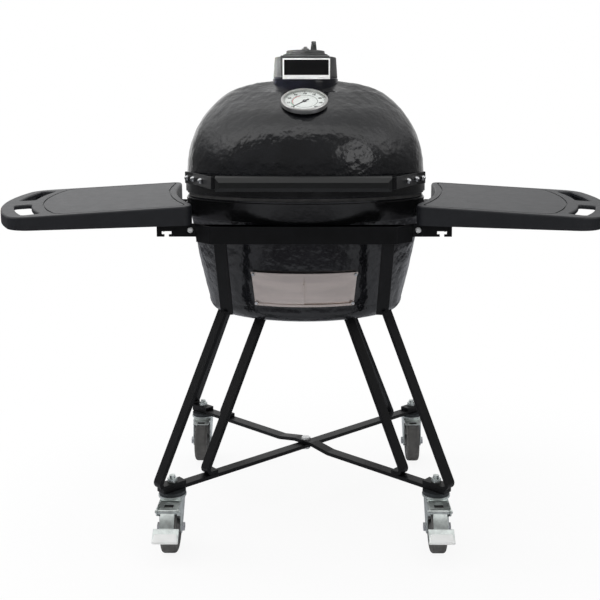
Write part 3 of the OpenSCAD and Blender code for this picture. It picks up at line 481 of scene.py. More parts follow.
@dataclass(frozen=True)
class Clear(Finish):
    """Flat clear glass that reflects at its own angle and otherwise lets light through.

    Attributes:
        ior: Index of refraction.
        smear: How far fingerprints dull the mirror.
        smear_size: Their size.
    """

    ior: float = 1.45
    smear: float = 0.03
    smear_size: float = 0.02

    def surface(self, graph: Graph) -> Any:
        """Glass as a blend of see-through and mirror.

        Args:
            graph: Node tree of the material.

        Returns:
            The shader node.
        """
        inside = Value(graph, graph.node("ShaderNodeNewGeometry").outputs["Backfacing"])
        sheen = Value(graph, graph.node("ShaderNodeFresnel", None, {"IOR": self.ior}).outputs[0])
        dull = graph.noise(self.smear_size) * self.smear + self.rough
        through = graph.node("ShaderNodeBsdfTransparent", None, {"Color": (*self.color, 1.0)})
        mirror = graph.node("ShaderNodeBsdfGlossy", None, {"Roughness": dull})
        return graph.blend(sheen * (1.0 - inside), through, mirror)


GLAZE = Glaze(
    "black_glaze", (0.006, 0.0063, 0.0078), 0.17, coat=0.35, coat_rough=0.08, mottle=0.3, mottle_size=0.06,
    grain=0.00003, grain_size=0.003, uneven=0.06,
)
FIRE_CLAY = Cast("fire_clay", (0.5, 0.44, 0.37), 0.85, grain=0.0004, grain_size=0.003, mottle=0.12)
IRON = Cast("cast_iron", (0.075, 0.075, 0.078), 0.6, metallic=0.3, grain=0.00025, grain_size=0.0016)
CAP_IRON = Cast("cap_iron", (0.075, 0.076, 0.076), 0.5, metallic=0.1, grain=0.0003, grain_size=0.0014)
GRID_STEEL = Finish("grid_steel", (0.3, 0.3, 0.31), 0.35, metallic=1.0, axis=Axis.ALONG_Y)
FELT = Moulded("pressed_felt", (0.06, 0.06, 0.06), 0.95, grain=0.0004)
POWDER = Finish(
    "powder_coat", (0.0042, 0.0044, 0.0052), 0.4, specular=0.25, grain=0.00006, grain_size=0.0011, uneven=0.05
)
ENAMEL = Finish("band_enamel", (0.0045, 0.0046, 0.005), 0.2, coat=0.3, grain=0.0005, grain_size=0.012)
STEEL = Finish("plain_steel", (0.52, 0.53, 0.55), 0.32, metallic=1.0, axis=Axis.ALONG_Z)
GRIP = Finish("grip_composite", (0.006, 0.0066, 0.0068), 0.4, axis=Axis.ALONG_X, grain=0.00012, mottle=0.25)
BRIGHT = Finish(
    "bright_steel", (0.76, 0.77, 0.78), 0.13, metallic=1.0, mottle=0.05, grain=0.00001, uneven=0.04
)
SATIN = Finish("satin_steel", (0.72, 0.72, 0.7), 0.34, metallic=1.0, mottle=0.06, grain=0.00002)
# Pale zinc, made half matt so that the whole flat head carries a painted highlight in place of the highlight
# that a domed head would catch
BOLT_ZINC_PAINTED_HIGHLIGHT = Finish("bolt_zinc_painted_highlight", (0.86, 0.87, 0.87), 0.3, metallic=0.45, mottle=0.06, grain=0.00002)
COLLAR = Finish(
    "collar_glaze", (0.006, 0.0066, 0.012), 0.13, coat=0.2, coat_rough=0.05, grain=0.00002, grain_size=0.004
)
DIAL_WHITE = Finish("dial_white", (0.86, 0.86, 0.83), 0.5, mottle=0.03, grain=0.00001)
INK = Finish("dial_ink", (0.02, 0.02, 0.02), 0.55, mottle=0.1, grain=0.00001)
INK_RED = Finish("dial_red", (0.6, 0.05, 0.04), 0.55, mottle=0.1, grain=0.00001)
INK_GREEN = Finish("dial_green", (0.12, 0.42, 0.2), 0.55, mottle=0.1, grain=0.00001)
GLASS = Clear("flat_glass", (0.97, 0.98, 0.98), 0.02)
PLATE = Finish("plate_black", (0.004, 0.004, 0.0045), 0.35, specular=0.3, grain=0.00008)
PLATE_EDGE = Finish("plate_edge", (0.82, 0.82, 0.81), 0.5, mottle=0.06, grain=0.0001)
STAINLESS = Finish(
    "stainless", (0.85, 0.755, 0.7), 0.38, metallic=1.0, axis=Axis.ALONG_X, mottle=0.07, mottle_size=0.02,
    grain=0.00003, grain_size=0.0007, uneven=0.07,
)
SHELF = Moulded(
    "shelf_plastic", (0.0125, 0.0135, 0.0165), 0.42, grain=0.00012, grain_size=0.0011, mottle=0.08,
    uneven=0.05,
)
ZINC = Finish(
    "zinc_plate", (0.78, 0.83, 0.81), 0.42, metallic=1.0, mottle=0.15, mottle_size=0.012, grain=0.00003,
    uneven=0.1,
)
RACE = Finish("race_steel", (0.05, 0.056, 0.06), 0.4, metallic=0.6, grain=0.00006)
RUBBER = Moulded("wheel_rubber", (0.105, 0.103, 0.1), 0.75, grain=0.0001, grain_size=0.0013, mottle=0.2)
HUB = Finish("hub_plastic", (0.12, 0.12, 0.12), 0.5, grain=0.00008)
PEDAL = Moulded("pedal_white", (0.9, 0.91, 0.9), 0.42, grain=0.00004, mottle=0.04)


class Maker:
    """Turns meshes into pieces of the part and dresses the CAD nodes."""

    # Least turn of an edge that is shaded sharp
    SHARP: ClassVar[float] = math.radians(32.0)
    # Greatest turn between triangles of one flat face
    FLAT: ClassVar[float] = math.radians(0.5)

    def __init__(self, frame: dict[str, Any]) -> None:
        """Reads which body and which material slot each node has.
        """
        record = frame["record"]
        self.nodes: dict[str, bpy.types.Object] = frame["nodes"]
        self.body_of = {node: body for body, nodes in record["behaviour"]["bodies"].items() for node in nodes}
        self.slot_of = {row["node"]: row["material_slot"] for row in record["subparts"]}

    def dress(self, node: str, finish: Finish) -> None:
        """Gives a CAD node its finish.

        Args:
            node: Name of the node.
            finish: Its finish.
        """
        data = self.nodes[node].data
        data.materials.clear()
        data.materials.append(finish.material())
        LOG.info("dressed %s in %s", node, finish.name)

    def piece(
        self, name: str, shape: Shape, finish: Finish, like: str, replaced: Sequence[str] = (),
        other: Finish | None = None, where: FaceTest | None = None,
    ) -> None:
        """Makes a piece of the part from a finished shape, which is used up.

        Args:
            name: Name of the piece.
            shape: Its mesh, already in place.
            finish: Its finish.
            like: CAD node whose body it shares.
            replaced: CAD nodes that it stands for.
            other: Second finish.
            where: Test on a face's middle and normal that gives it the second finish.
        """
        mesh = bpy.data.meshes.new(name)
        shape.to_mesh(mesh)
        shape.free()
        mesh.shade_smooth()
        mesh.set_sharp_from_angle(angle=self.SHARP)
        mesh.materials.append(finish.material())
        if other and where:
            mesh.materials.append(other.material())
            for face in mesh.polygons:
                face.material_index = int(where(face.center, face.normal))
        made = bpy.data.objects.new(name, mesh)
        bpy.context.scene.collection.objects.link(made)
        even = made.modifiers.new("even", "WEIGHTED_NORMAL")
        even.keep_sharp = True
        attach(made, self.body_of[like])
        if replaced:
            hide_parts(*replaced)
        LOG.info("made %s in %s", name, finish.name)

    def copy(self, node: str) -> Shape:
        """A CAD node's mesh with its triangles joined into flat faces.

        Args:
            node: Name of the node.

        Returns:
            The copy.
        """
        shape = bmesh.new()
        shape.from_mesh(self.nodes[node].data)
        bmesh.ops.remove_doubles(shape, verts=shape.verts[:], dist=SAME)
        bmesh.ops.dissolve_limit(
            shape, angle_limit=self.FLAT, verts=shape.verts[:], edges=shape.edges[:], delimit={"NORMAL"}
        )
        return shape

    def soften(
        self, node: str, finish: Finish, width: float, segments: int = 2, chosen: EdgeTest | None = None,
        other: Finish | None = None, where: FaceTest | None = None,
    ) -> None:
        """Stands a copy with eased edges in for a CAD node.

        Args:
            node: The node.
            finish: Its finish.
            width: Width of the easing.
            segments: Faces across it.
            chosen: Test that an edge has to pass as well.
            other: Second finish.
            where: Test on a face's middle and normal that gives it the second finish.
        """
        shape = self.copy(node)
        ease(shape, width, segments, chosen)
        self.piece(f"{node}_eased", shape, finish, node, [node], other, where)


def ease(shape: Shape, width: float, segments: int, chosen: EdgeTest | None = None) -> None:
    """Rounds the sharp edges of a shape.

    Args:
        shape: The mesh.
        width: Width of the rounding.
        segments: Faces across it.
        chosen: Test that an edge has to pass as well.
    """
    edges = [
        e for e in shape.edges
        if e.is_manifold and e.calc_face_angle(0.0) > EDGE_TURN and (chosen is None or chosen(e))
    ]
    bmesh.ops.bevel(
        shape, geom=edges, offset=width, offset_type="OFFSET", segments=segments, profile=0.5, affect="EDGES",
        clamp_overlap=False, material=-1,
    )


def middle_of(node: str) -> Vector:
    """Middle of a CAD node's box."""
    low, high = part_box(node)
    return (Vector(low) + Vector(high)) / 2.0


def smooth_step(low: float, high: float, x: float) -> float:
    """Smooth step from 0 at low to 1 at high."""
    t = min(1.0, max(0.0, (x - low) / (high - low)))
    return t * t * (3.0 - 2.0 * t)


def crowded(low: float, high: float, steps: int) -> list[float]:
    """Heights from low to high that stand closer towards the high end."""
    return [low + (high - low) * math.sin(math.pi / 2.0 * i / steps) for i in range(steps + 1)]


def loft(rings: Sequence[Ring], segments: int) -> Shape:
    """A closed surface through rings, made by extruding one ring into the next.

    Args:
        rings: Functions from an angle to a point, from the first ring to the last.
        segments: Points on each ring.

    Returns:
        The mesh, with a face across each end.
    """
    shape = bmesh.new()
    turn = 2.0 * math.pi / segments
    ring = bmesh.ops.create_circle(shape, cap_ends=False, segments=segments, radius=1.0)["verts"]
    ring.sort(key=lambda v: math.atan2(v.co.y, v.co.x) % (2.0 * math.pi))
    first = ring
    edges = shape.edges[:]
    for i, v in enumerate(ring):
        v.co = rings[0](i * turn)
    for follow in rings[1:]:
        made = bmesh.ops.extrude_edge_only(shape, edges=edges)["geom"]
        old = set(ring)
        ends = {}
        for v in (g for g in made if isinstance(g, bmesh.types.BMVert)):
            for e in v.link_edges:
                if e.other_vert(v) in old:
                    ends[e.other_vert(v)] = v
        ring = [ends[v] for v in ring]
        fresh = set(ring)
        edges = [g for g in made if isinstance(g, bmesh.types.BMEdge) and fresh.issuperset(g.verts)]
        for i, v in enumerate(ring):
            v.co = follow(i * turn)
    shape.faces.new(first)
    shape.faces.new(ring)
    bmesh.ops.recalc_face_normals(shape, faces=shape.faces[:])
    return shape


def combine(shape: Shape, tool: Shape, how: Join) -> Shape:
    """Joins or cuts one closed shape with another. Both are used up.

    Args:
        shape: The shape that is worked on.
        tool: The other shape.
        how: What the tool does.

    Returns:
        The result.
    """
    work = []
    for source in (shape, tool):
        mesh = bpy.data.meshes.new("work")
        source.to_mesh(mesh)
        source.free()
        work.append(bpy.data.objects.new("work", mesh))
        bpy.context.scene.collection.objects.link(work[-1])
    cut = work[0].modifiers.new("cut", "BOOLEAN")
    cut.operation = how.value
    cut.solver = "EXACT"
    cut.object = work[1]
    made = bmesh.new()
    made.from_object(work[0], bpy.context.evaluated_depsgraph_get())
    for item in work:
        mesh = item.data
        bpy.data.objects.remove(item)
        bpy.data.meshes.remove(mesh)
    return made


def rod(radius: float, low: float, high: float, middle: Span, segments: int = 96) -> Shape:
    """An upright solid cylinder.

    Args:
        radius: Its radius.
        low: Height of its foot.
        high: Height of its top.
        middle: X and Y of its axis.
        segments: Faces round it.

    Returns:
        The mesh.
    """
    shape = bmesh.new()
    place = Matrix.Translation((*middle, (low + high) / 2.0))
    bmesh.ops.create_cone(
        shape, cap_ends=True, segments=segments, radius1=radius, radius2=radius, depth=high - low,
        matrix=place,
    )
    return shape


def block(size: Triple, place: Matrix) -> Shape:
    """A box.

    Args:
        size: Its lengths along its own axes.
        place: Where its middle goes and how it is turned.

    Returns:
        The mesh.
    """
    shape = bmesh.new()
    bmesh.ops.create_cube(shape, size=1.0)
    bmesh.ops.scale(shape, vec=size, verts=shape.verts[:])
    bmesh.ops.transform(shape, matrix=place, verts=shape.verts[:])
    return shape


def rounded(start: Span, radius: float, way: float) -> list[Span]:
    """Quarter circle of a turned outline, which leaves a flat end outwards.

    Args:
        start: Distance from the axis and place along it where the flat end stops.
        radius: Radius of the curve.
        way: 1 where the curve turns towards greater places, -1 where it turns towards smaller ones.

    Returns:
        Points after the start.
    """
    turns = [math.radians(t) for t in range(15, 91, 15)]
    return [(start[0] + radius * math.sin(t), start[1] + way * radius * (1.0 - math.cos(t))) for t in turns]


def turned(outline: Sequence[Span], middle: Vector, axis: Vector, segments: int = 72) -> Shape:
    """A solid of revolution.

    Args:
        outline: Closed outline as distances from the axis and places along it.
        middle: A point of the axis, where the place is 0.
        axis: Its direction.
        segments: Faces round it.

    Returns:
        The closed mesh.
    """
    shape = bmesh.new()
    side = axis.orthogonal().normalized()
    ring = [shape.verts.new(middle + side * r + axis * h) for r, h in outline]
    edges = [shape.edges.new((ring[i - 1], ring[i])) for i in range(len(ring))]
    bmesh.ops.spin(
        shape, geom=ring + edges, cent=middle, axis=axis, angle=2.0 * math.pi, steps=segments, use_merge=True
    )
    bmesh.ops.remove_doubles(shape, verts=shape.verts[:], dist=SAME)
    bmesh.ops.recalc_face_normals(shape, faces=shape.faces[:])
    return shape


def joined(shapes: Sequence[Shape]) -> Shape:
    """Several shapes as one mesh.

    Args:
        shapes: The shapes, which are used up.

    Returns:
        The mesh.
    """
    whole = bmesh.new()
    for shape in shapes:
        mesh = bpy.data.meshes.new("work")
        shape.to_mesh(mesh)
        shape.free()
        whole.from_mesh(mesh)
        bpy.data.meshes.remove(mesh)
    return whole


@dataclass(frozen=True)
class Oval:
    """Plan of the ceramic body: two end arcs and two side arcs, tangent where they meet.

    Attributes:
        y: Place of the middle.
        a: Half width.
        b: Half depth.
        c: Distance of the end arcs' centres from the middle.
    """

    y: float
    a: float = 0.260
    b: float = 0.214
    c: float = 0.100

    def point(self, angle: float, offset: float = 0.0) -> Span:
        """A point of the oval, from its own middle.

        Args:
            angle: Direction of the outward normal, in radians.
            offset: Distance outside the oval.

        Returns:
            X and Y.
        """
        m = self.a - self.b
        k = m * (2.0 * self.c - m) / (2.0 * (self.c - m))
        cos, sin = math.cos(angle), math.sin(angle)
        if abs(sin) <= math.sin(math.atan2(k, self.c)):
            r = self.a - self.c + offset
            return math.copysign(self.c, cos) + r * cos, r * sin
        r = self.b + k + offset
        return r * cos, r * sin - math.copysign(k, sin)


@dataclass(frozen=True)
class Ceramic:
    """The glazed lid and base, with the dimples that the glaze leaves.

    Attributes:
        oval: Plan at the seam.
        wall: Thickness of the walls.
        lid_low: Lower rim of the lid.
        lid_top: Top of the dome.
        end_z: Height where the ends start to curve in.
        end_r: Radius of the dome seen from the front.
        front_z: Height where the front starts to curve in.
        front_r: Radius of the shoulder seen from the side.
        slope: Slope of the panel below the chimney, in radians.
        collar_r: Radius of the collar.
        collar_top: Rim of the collar.
        collar_edge: Rounding of that rim.
        collar_foot: Depth of the collar's foot below the inside of the dome.
        smoke_r: Radius of the smoke hole.
        smoke_room: How far the hole's tool reaches past the dome.
        base_top: Upper rim of the base.
        base_low: Underside of the base.
        seam: Height from which the base's slope is counted.
        taper: Slope of the base's wall at the seam.
        curve: Growth of that slope for each metre below it.
        edge_r: Radius of the base's lower edge.
        air_share: Width of the air opening as a share of the draft door's.
        air_h: Height of the air opening.
        air_depth: Length of its tool.
        air_in: Place of the tool's middle behind the door's front.
        dent: Depth of the dimples.
        dent_size: Width of the large dimples.
        small_size: Width of the small ones.
        small: Weight of the small ones.
        small_from: Where in the noise the small ones are taken.
        dented: Gain of the noise round its mean.
        lid_dents: Heights between which the lid's dimples set in.
        collar_dents: Distances from the chimney's axis between which they set in.
        base_dents: Heights between which the base's dimples set in below the band.
        crown: Height above the dome's inside from which the crown is lowered.
        dip: How far the dome dips beside the front of the collar.
        dip_front: Depths from the chimney's axis between which the dip ends.
        dip_reach: Distances from the axis between which it ends.
        fall: How far the dome's corners fall below its curve.
        fall_in: Half widths between which that fall sets in.
        fall_out: Half widths between which it ends.
        fall_z: Heights between which it sets in.
        segments: Points round the oval.
        wall_rows: Rows of the lid's upright wall.
        dome_rows: Rows of the dome.
        inner_rows: Rows inside the dome.
        base_rows: Rows of the base's wall.
        base_inner_rows: Rows inside the base.
    """

    oval: Oval
    wall: float = 0.025
    lid_low: float = 0.7033
    lid_top: float = 0.948
    end_z: float = 0.752
    end_r: float = 0.201
    front_z: float = 0.757
    front_r: float = 0.147
    slope: float = math.radians(29.0)
    collar_r: float = 0.070
    collar_top: float = 0.951
    collar_edge: float = 0.0025
    collar_foot: float = 0.004
    smoke_r: float = 0.048
    smoke_room: float = 0.06
    base_top: float = 0.697
    base_low: float = 0.440
    seam: float = 0.700
    taper: float = 0.14
    curve: float = 0.25
    edge_r: float = 0.030
    air_share: float = 0.8
    air_h: float = 0.04
    air_depth: float = 0.1
    air_in: float = 0.03
    dent: float = 0.0013
    dent_size: float = 0.021
    small_size: float = 0.011
    small: float = 0.6
    small_from: Triple = (7.0, 3.0, 1.0)
    dented: float = 0.6
    lid_dents: Span = (0.748, 0.765)
    collar_dents: Span = (0.074, 0.105)
    base_dents: Span = (0.652, 0.640)
    crown: float = 0.004
    dip: float = 0.008
    dip_front: Span = (-0.03, 0.03)
    dip_reach: Span = (0.070, 0.110)
    fall: float = 0.0065
    fall_in: Span = (0.055, 0.095)
    fall_out: Span = (0.100, 0.180)
    fall_z: Span = (0.895, 0.935)
    segments: int = 400
    wall_rows: int = 14
    dome_rows: int = 64
    inner_rows: int = 24
    base_rows: int = 70
    base_inner_rows: int = 12

    @property
    def inner_top(self) -> float:
        """Height of the dome's inside under the chimney."""
        return self.lid_top - self.wall * (1.0 + math.tan(self.slope) / 2.0)

    @property
    def edge_z(self) -> float:
        """Height where the base's lower edge starts to curve in."""
        return self.base_low + self.edge_r

    def lid_half(self, z: float, inset: float) -> Span:
        """Half width and half depth of the lid.

        Args:
            z: Height.
            inset: Distance inside the outer surface.

        Returns:
            The two halves.
        """
        a, b = self.oval.a - inset, self.oval.b - inset
        if z > self.end_z:
            a += math.sqrt((self.end_r - inset) ** 2 - (z - self.end_z) ** 2) - (self.end_r - inset)
        r = self.front_r - inset
        start = self.front_z + r * math.cos(self.slope)
        if z > start:
            b += r * (math.sin(self.slope) - 1.0) - (z - start) / math.tan(self.slope)
        elif z > self.front_z:
            b += math.sqrt(r**2 - (z - self.front_z) ** 2) - r
        return a, b

    def lid_ring(self, z: float, inset: float) -> Ring:
        """Ring of the lid.

        Args:
            z: Its height.
            inset: Distance inside the outer surface.

        Returns:
            Function from an angle to a point.
        """
        a, b = self.lid_half(z, inset)

        def ring(angle: float) -> Vector:
            """A point of the ring."""
            x, y = self.oval.point(angle)
            return Vector((x * a / self.oval.a, y * b / self.oval.b + self.oval.y, z))

        return ring

    def base_ring(self, z: float, inset: float, drop: float = 0.0) -> Ring:
        """Ring of the base.

        Args:
            z: Height at which the wall's plan is taken.
            inset: Distance that it is drawn in.
            drop: Distance that it is lowered.

        Returns:
            Function from an angle to a point.
        """
        h = self.seam - z
        offset = -self.taper * h - self.curve * h * h - inset

        def ring(angle: float) -> Vector:
            """A point of the ring."""
            x, y = self.oval.point(angle, offset)
            return Vector((x, y + self.oval.y, z - drop))

        return ring

    def from_axis(self, p: Vector) -> float:
        """Distance of a point from the chimney's axis."""
        return math.hypot(p.x, p.y - self.oval.y)

    def lid_share(self, p: Vector) -> float:
        """Share of the dimples on the lid, away from the band and the collar."""
        return smooth_step(*self.lid_dents, p.z) * smooth_step(*self.collar_dents, self.from_axis(p))

    def base_share(self, p: Vector) -> float:
        """Share of the dimples on the base, below the band and not on the underside.

        Args:
            p: A point.

        Returns:
            The share, from 0 to 1.
        """
        if p.z > (self.base_top + self.edge_z) / 2.0:
            return smooth_step(*self.base_dents, p.z)
        return smooth_step(self.base_low, self.edge_z, p.z)

    def dimple(self, shape: Shape, share: Callable[[Vector], float]) -> None:
        """Sinks the dimples into the outer surface, never outwards.

        Args:
            shape: The mesh.
            share: How deep the dimples are at a point, from 0 to 1.
        """
        shape.normal_update()
        middle = Vector((0.0, self.oval.y, self.seam))
        start = Vector(self.small_from)
        moves = []
        for v in shape.verts:
            depth = share(v.co) if v.normal.dot(v.co - middle) > 0.0 else 0.0
            if depth > 0.0:
                slow = noise.noise(v.co / self.dent_size)
                slow += self.small * noise.noise(v.co / self.small_size + start)
                depth *= min(1.0, max(0.0, 0.5 + self.dented * slow))
                moves.append((v, v.normal * (-self.dent * depth)))
        for v, move in moves:
            v.co += move

    def settle(self, shape: Shape) -> None:
        """Lowers the crown of the lid beside the collar and at the dome's corners.

        Args:
            shape: Mesh of the lid.
        """
        for v in shape.verts:
            out = self.from_axis(v.co)
            if v.co.z > self.inner_top + self.crown and out > SAME:
                depth = self.dip * (1.0 - smooth_step(*self.dip_front, v.co.y - self.oval.y))
                v.co.z -= depth * (1.0 - smooth_step(*self.dip_reach, out)) * (v.co.x / out) ** 2
                wide = abs(v.co.x)
                corner = smooth_step(*self.fall_in, wide) * (1.0 - smooth_step(*self.fall_out, wide))
                v.co.z -= self.fall * corner * smooth_step(*self.fall_z, v.co.z)

    def lid(self, maker: Maker) -> None:
        """Builds the lid.

        Args:
            maker: Makes the piece.
        """
        step = (self.end_z - self.lid_low) / self.wall_rows
        outer = [self.lid_low + step * i for i in range(self.wall_rows)]
        outer += crowded(self.end_z, self.lid_top, self.dome_rows)
        inner = crowded(self.end_z, self.inner_top, self.inner_rows)[::-1] + [self.lid_low]
        rings = [self.lid_ring(z, self.wall) for z in inner] + [self.lid_ring(z, 0.0) for z in outer]
        shape = loft(rings, self.segments)
        self.dimple(shape, self.lid_share)
        self.settle(shape)
        middle = (0.0, self.oval.y)
        foot = self.inner_top - self.collar_foot
        collar = rod(self.collar_r, foot, self.collar_top, middle)
        ease(collar, self.collar_edge, 3, lambda e: min(v.co.z for v in e.verts) > foot + self.collar_edge)
        shape = combine(shape, collar, Join.ADD)
        low, high = self.inner_top - self.smoke_room, self.collar_top + self.smoke_room
        shape = combine(shape, rod(self.smoke_r, low, high, middle), Join.CUT)
        maker.piece("lid_dome", shape, GLAZE, "lid_shell", ["lid_shell"])

    def base(self, maker: Maker) -> None:
        """Builds the base with its air opening.

        Args:
            maker: Makes the piece.
        """
        foot = self.base_low + self.wall + self.edge_r
        inside = (self.base_top - foot) / self.base_inner_rows
        outside = (self.edge_z - self.base_top) / self.base_rows
        rings = [self.base_ring(foot, self.wall + self.edge_r, self.edge_r)]
        rings += [self.base_ring(foot + inside * i, self.wall) for i in range(self.base_inner_rows + 1)]
        rings += [self.base_ring(self.base_top + outside * i, 0.0) for i in range(self.base_rows + 1)]
        for t in (math.radians(t) for t in range(10, 91, 10)):
            inset, drop = self.edge_r * (1.0 - math.cos(t)), self.edge_r * math.sin(t)
            rings.append(self.base_ring(self.edge_z, inset, drop))
        shape = loft(rings, self.segments)
        self.dimple(shape, self.base_share)
        low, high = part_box("draft_door")
        middle = middle_of("draft_door")
        middle.y = low[1] + self.air_in
        size = ((high[0] - low[0]) * self.air_share, self.air_depth, self.air_h)
        shape = combine(shape, block(size, Matrix.Translation(middle)), Join.CUT)
        maker.piece("base_bowl", shape, GLAZE, "base_shell", ["base_shell"])

    def build(self, maker: Maker) -> None:
        """Builds both shells and dresses what lies inside them.

        Args:
            maker: Makes the pieces.
        """
        self.lid(maker)
        self.base(maker)
        for node, finish in (
            ("firebox", FIRE_CLAY), ("fire_grate", IRON), ("cooking_grate", GRID_STEEL),
            ("base_gasket", FELT), ("lid_gasket", FELT),
        ):
            maker.dress(node, finish)


@dataclass(frozen=True)
class Fittings:
    """Bands, hinge, handle and stand: CAD pieces with eased edges.

    Attributes:
        band_edge: Easing of the bands.
        hinge_edge: Easing of the hinge's brackets.
        strap_edge: Easing of the handle's straps.
        nut_edge: Easing of its nuts.
        frame_edge: Easing of the cradle, legs, struts and braces.
        grip_round: Rounding of the grip's upper edges.
        grip_segments: Faces across it.
        long_edge: Least length of an edge that runs along the grip.
        level: Least Z of the normal of a face that looks up.
    """

    band_edge: float = 0.0006
    hinge_edge: float = 0.0012
    strap_edge: float = 0.0010
    nut_edge: float = 0.0004
    frame_edge: float = 0.0008
    grip_round: float = 0.0110
    grip_segments: int = 5
    long_edge: float = 0.05
    level: float = 0.8

    def lengthwise_top(self, edge: bmesh.types.BMEdge) -> bool:
        """Whether an edge of the grip runs along it at its top."""
        along = edge.verts[1].co - edge.verts[0].co
        return abs(along.x) > self.long_edge and max(f.normal.z for f in edge.link_faces) > self.level

    def build(self, maker: Maker) -> None:
        """Dresses the bands and the steel work.

        Args:
            maker: Makes the pieces.
        """
        for node in ("base_band", "lid_band"):
            maker.soften(node, ENAMEL, self.band_edge)
        for node in ("hinge_base_bracket", "hinge_lid_bracket"):
            maker.soften(node, POWDER, self.hinge_edge)
        maker.dress("hinge_pin", STEEL)
        maker.soften("handle_straps", POWDER, self.strap_edge)
        maker.soften("handle_grip", GRIP, self.grip_round, self.grip_segments, self.lengthwise_top)
        maker.soften("handle_nuts", BRIGHT, self.nut_edge)
        for node in ("cradle_front", "cradle_rear", "brace_bar_a", "brace_bar_b"):
            maker.soften(node, POWDER, self.frame_edge)
        for corner in CORNERS:
            maker.soften(f"{corner}_leg", POWDER, self.frame_edge)
            maker.soften(f"{corner}_strut", POWDER, self.frame_edge)
        # The bolts' pale colour is partly zinc and partly a painted highlight
        maker.dress("frame_bolts", BOLT_ZINC_PAINTED_HIGHLIGHT)


@dataclass(frozen=True)
class DraftDoor:
    """The stainless draft plate with its sliding door and screws.

    Attributes:
        edge: Easing of the sheets.
    """

    edge: float = 0.0003

    def build(self, maker: Maker) -> None:
        """Dresses the plate.

        Args:
            maker: Makes the pieces.
        """
        for node in ("draft_frame", "draft_door"):
            maker.soften(node, STAINLESS, self.edge)
        maker.dress("draft_screws", BRIGHT)


@dataclass(frozen=True)
class Shelves:
    """The two side shelves on their rails.

    Attributes:
        edge: Radius of the moulding's upper edges.
        segments: Faces across it.
        skirt: Least height of a wall whose upper edge is rounded.
        level: Least Z of the top's normal.
        upright: Greatest Z of a wall's normal.
        lip: Depth of the wall round a hand slot.
        wall: Thickness of the ribs that are cut away below it.
        depth: Depth of that cut.
        slot_round: Greatest length of a slot's rim.
        slot_points: Least number of points on it.
        rail_edge: Easing of the rails.
    """

    edge: float = 0.0035
    segments: int = 3
    skirt: float = 0.005
    level: float = 0.9
    upright: float = 0.2
    lip: float = 0.009
    wall: float = 0.006
    depth: float = 0.08
    slot_round: float = 0.5
    slot_points: int = 8
    rail_edge: float = 0.0006

    def rim(self, edge: bmesh.types.BMEdge) -> bool:
        """Whether an edge lies between the top and a tall wall.

        Args:
            edge: The edge.

        Returns:
            True on the rim of the outline or of a slot.
        """
        if len(edge.link_faces) != 2:
            return False
        wall, top = sorted(edge.link_faces, key=lambda f: f.normal.z)
        heights = [v.co.z for v in wall.verts]
        tall = max(heights) - min(heights) > self.skirt
        return tall and top.normal.z > self.level and abs(wall.normal.z) < self.upright

    def loops(self, shape: Shape) -> list[list[bmesh.types.BMVert]]:
        """Rows of vertices along the rims of the top.

        Args:
            shape: Mesh of a shelf.

        Returns:
            The outline, both hand slots and short rests.
        """
        after: dict[bmesh.types.BMVert, list[bmesh.types.BMVert]] = {}
        for edge in shape.edges:
            if self.rim(edge):
                for v, w in (edge.verts, reversed(edge.verts)):
                    after.setdefault(v, []).append(w)
        rows, seen = [], set()
        for start in after:
            row = []
            v: bmesh.types.BMVert | None = start
            while v and v not in seen:
                seen.add(v)
                row.append(v)
                v = next((w for w in after[v] if w not in seen), None)
            if row:
                rows.append(row)
        return rows

    def is_slot(self, row: Sequence[bmesh.types.BMVert]) -> bool:
        """Whether a closed row of vertices goes round a hand slot."""
        length = sum((row[i].co - row[i - 1].co).length for i in range(len(row)))
        return len(row) >= self.slot_points and length < self.slot_round

    def under_slots(self, rows: Sequence[Sequence[bmesh.types.BMVert]]) -> Shape:
        """Room round and between the hand slots below their lips.

        Args:
            rows: Rims of the slots.

        Returns:
            A closed shape to cut away.
        """
        tool = bmesh.new()
        for v in (v for row in rows for v in row):
            walls = [f.normal for f in v.link_faces if abs(f.normal.z) < self.upright]
            out = sum((n * -1.0 for n in walls), Vector()).normalized()
            for drop in (self.lip, self.depth):
                tool.verts.new(v.co + out * self.wall - UP * drop)
        made = bmesh.ops.convex_hull(tool, input=tool.verts[:])
        inside = set(made["geom_interior"] + made["geom_unused"])
        bmesh.ops.delete(tool, geom=list(inside), context="VERTS")
        bmesh.ops.recalc_face_normals(tool, faces=tool.faces[:])
        return tool

    def build(self, maker: Maker) -> None:
        """Opens the hand slots from below and rounds the upper edges of both shelves.

        Args:
            maker: Makes the pieces.
        """
        for side in SIDES:
            node = f"{side}_shelf"
            shape = maker.copy(node)
            slots = [row for row in self.loops(shape) if self.is_slot(row)]
            LOG.info("%s: %d hand slots", node, len(slots))
            shape = combine(shape, self.under_slots(slots), Join.CUT)
            ease(shape, self.edge, self.segments, self.rim)
            maker.piece(f"{node}_eased", shape, SHELF, node, [node])
            maker.soften(f"{node}_rail", POWDER, self.rail_edge)


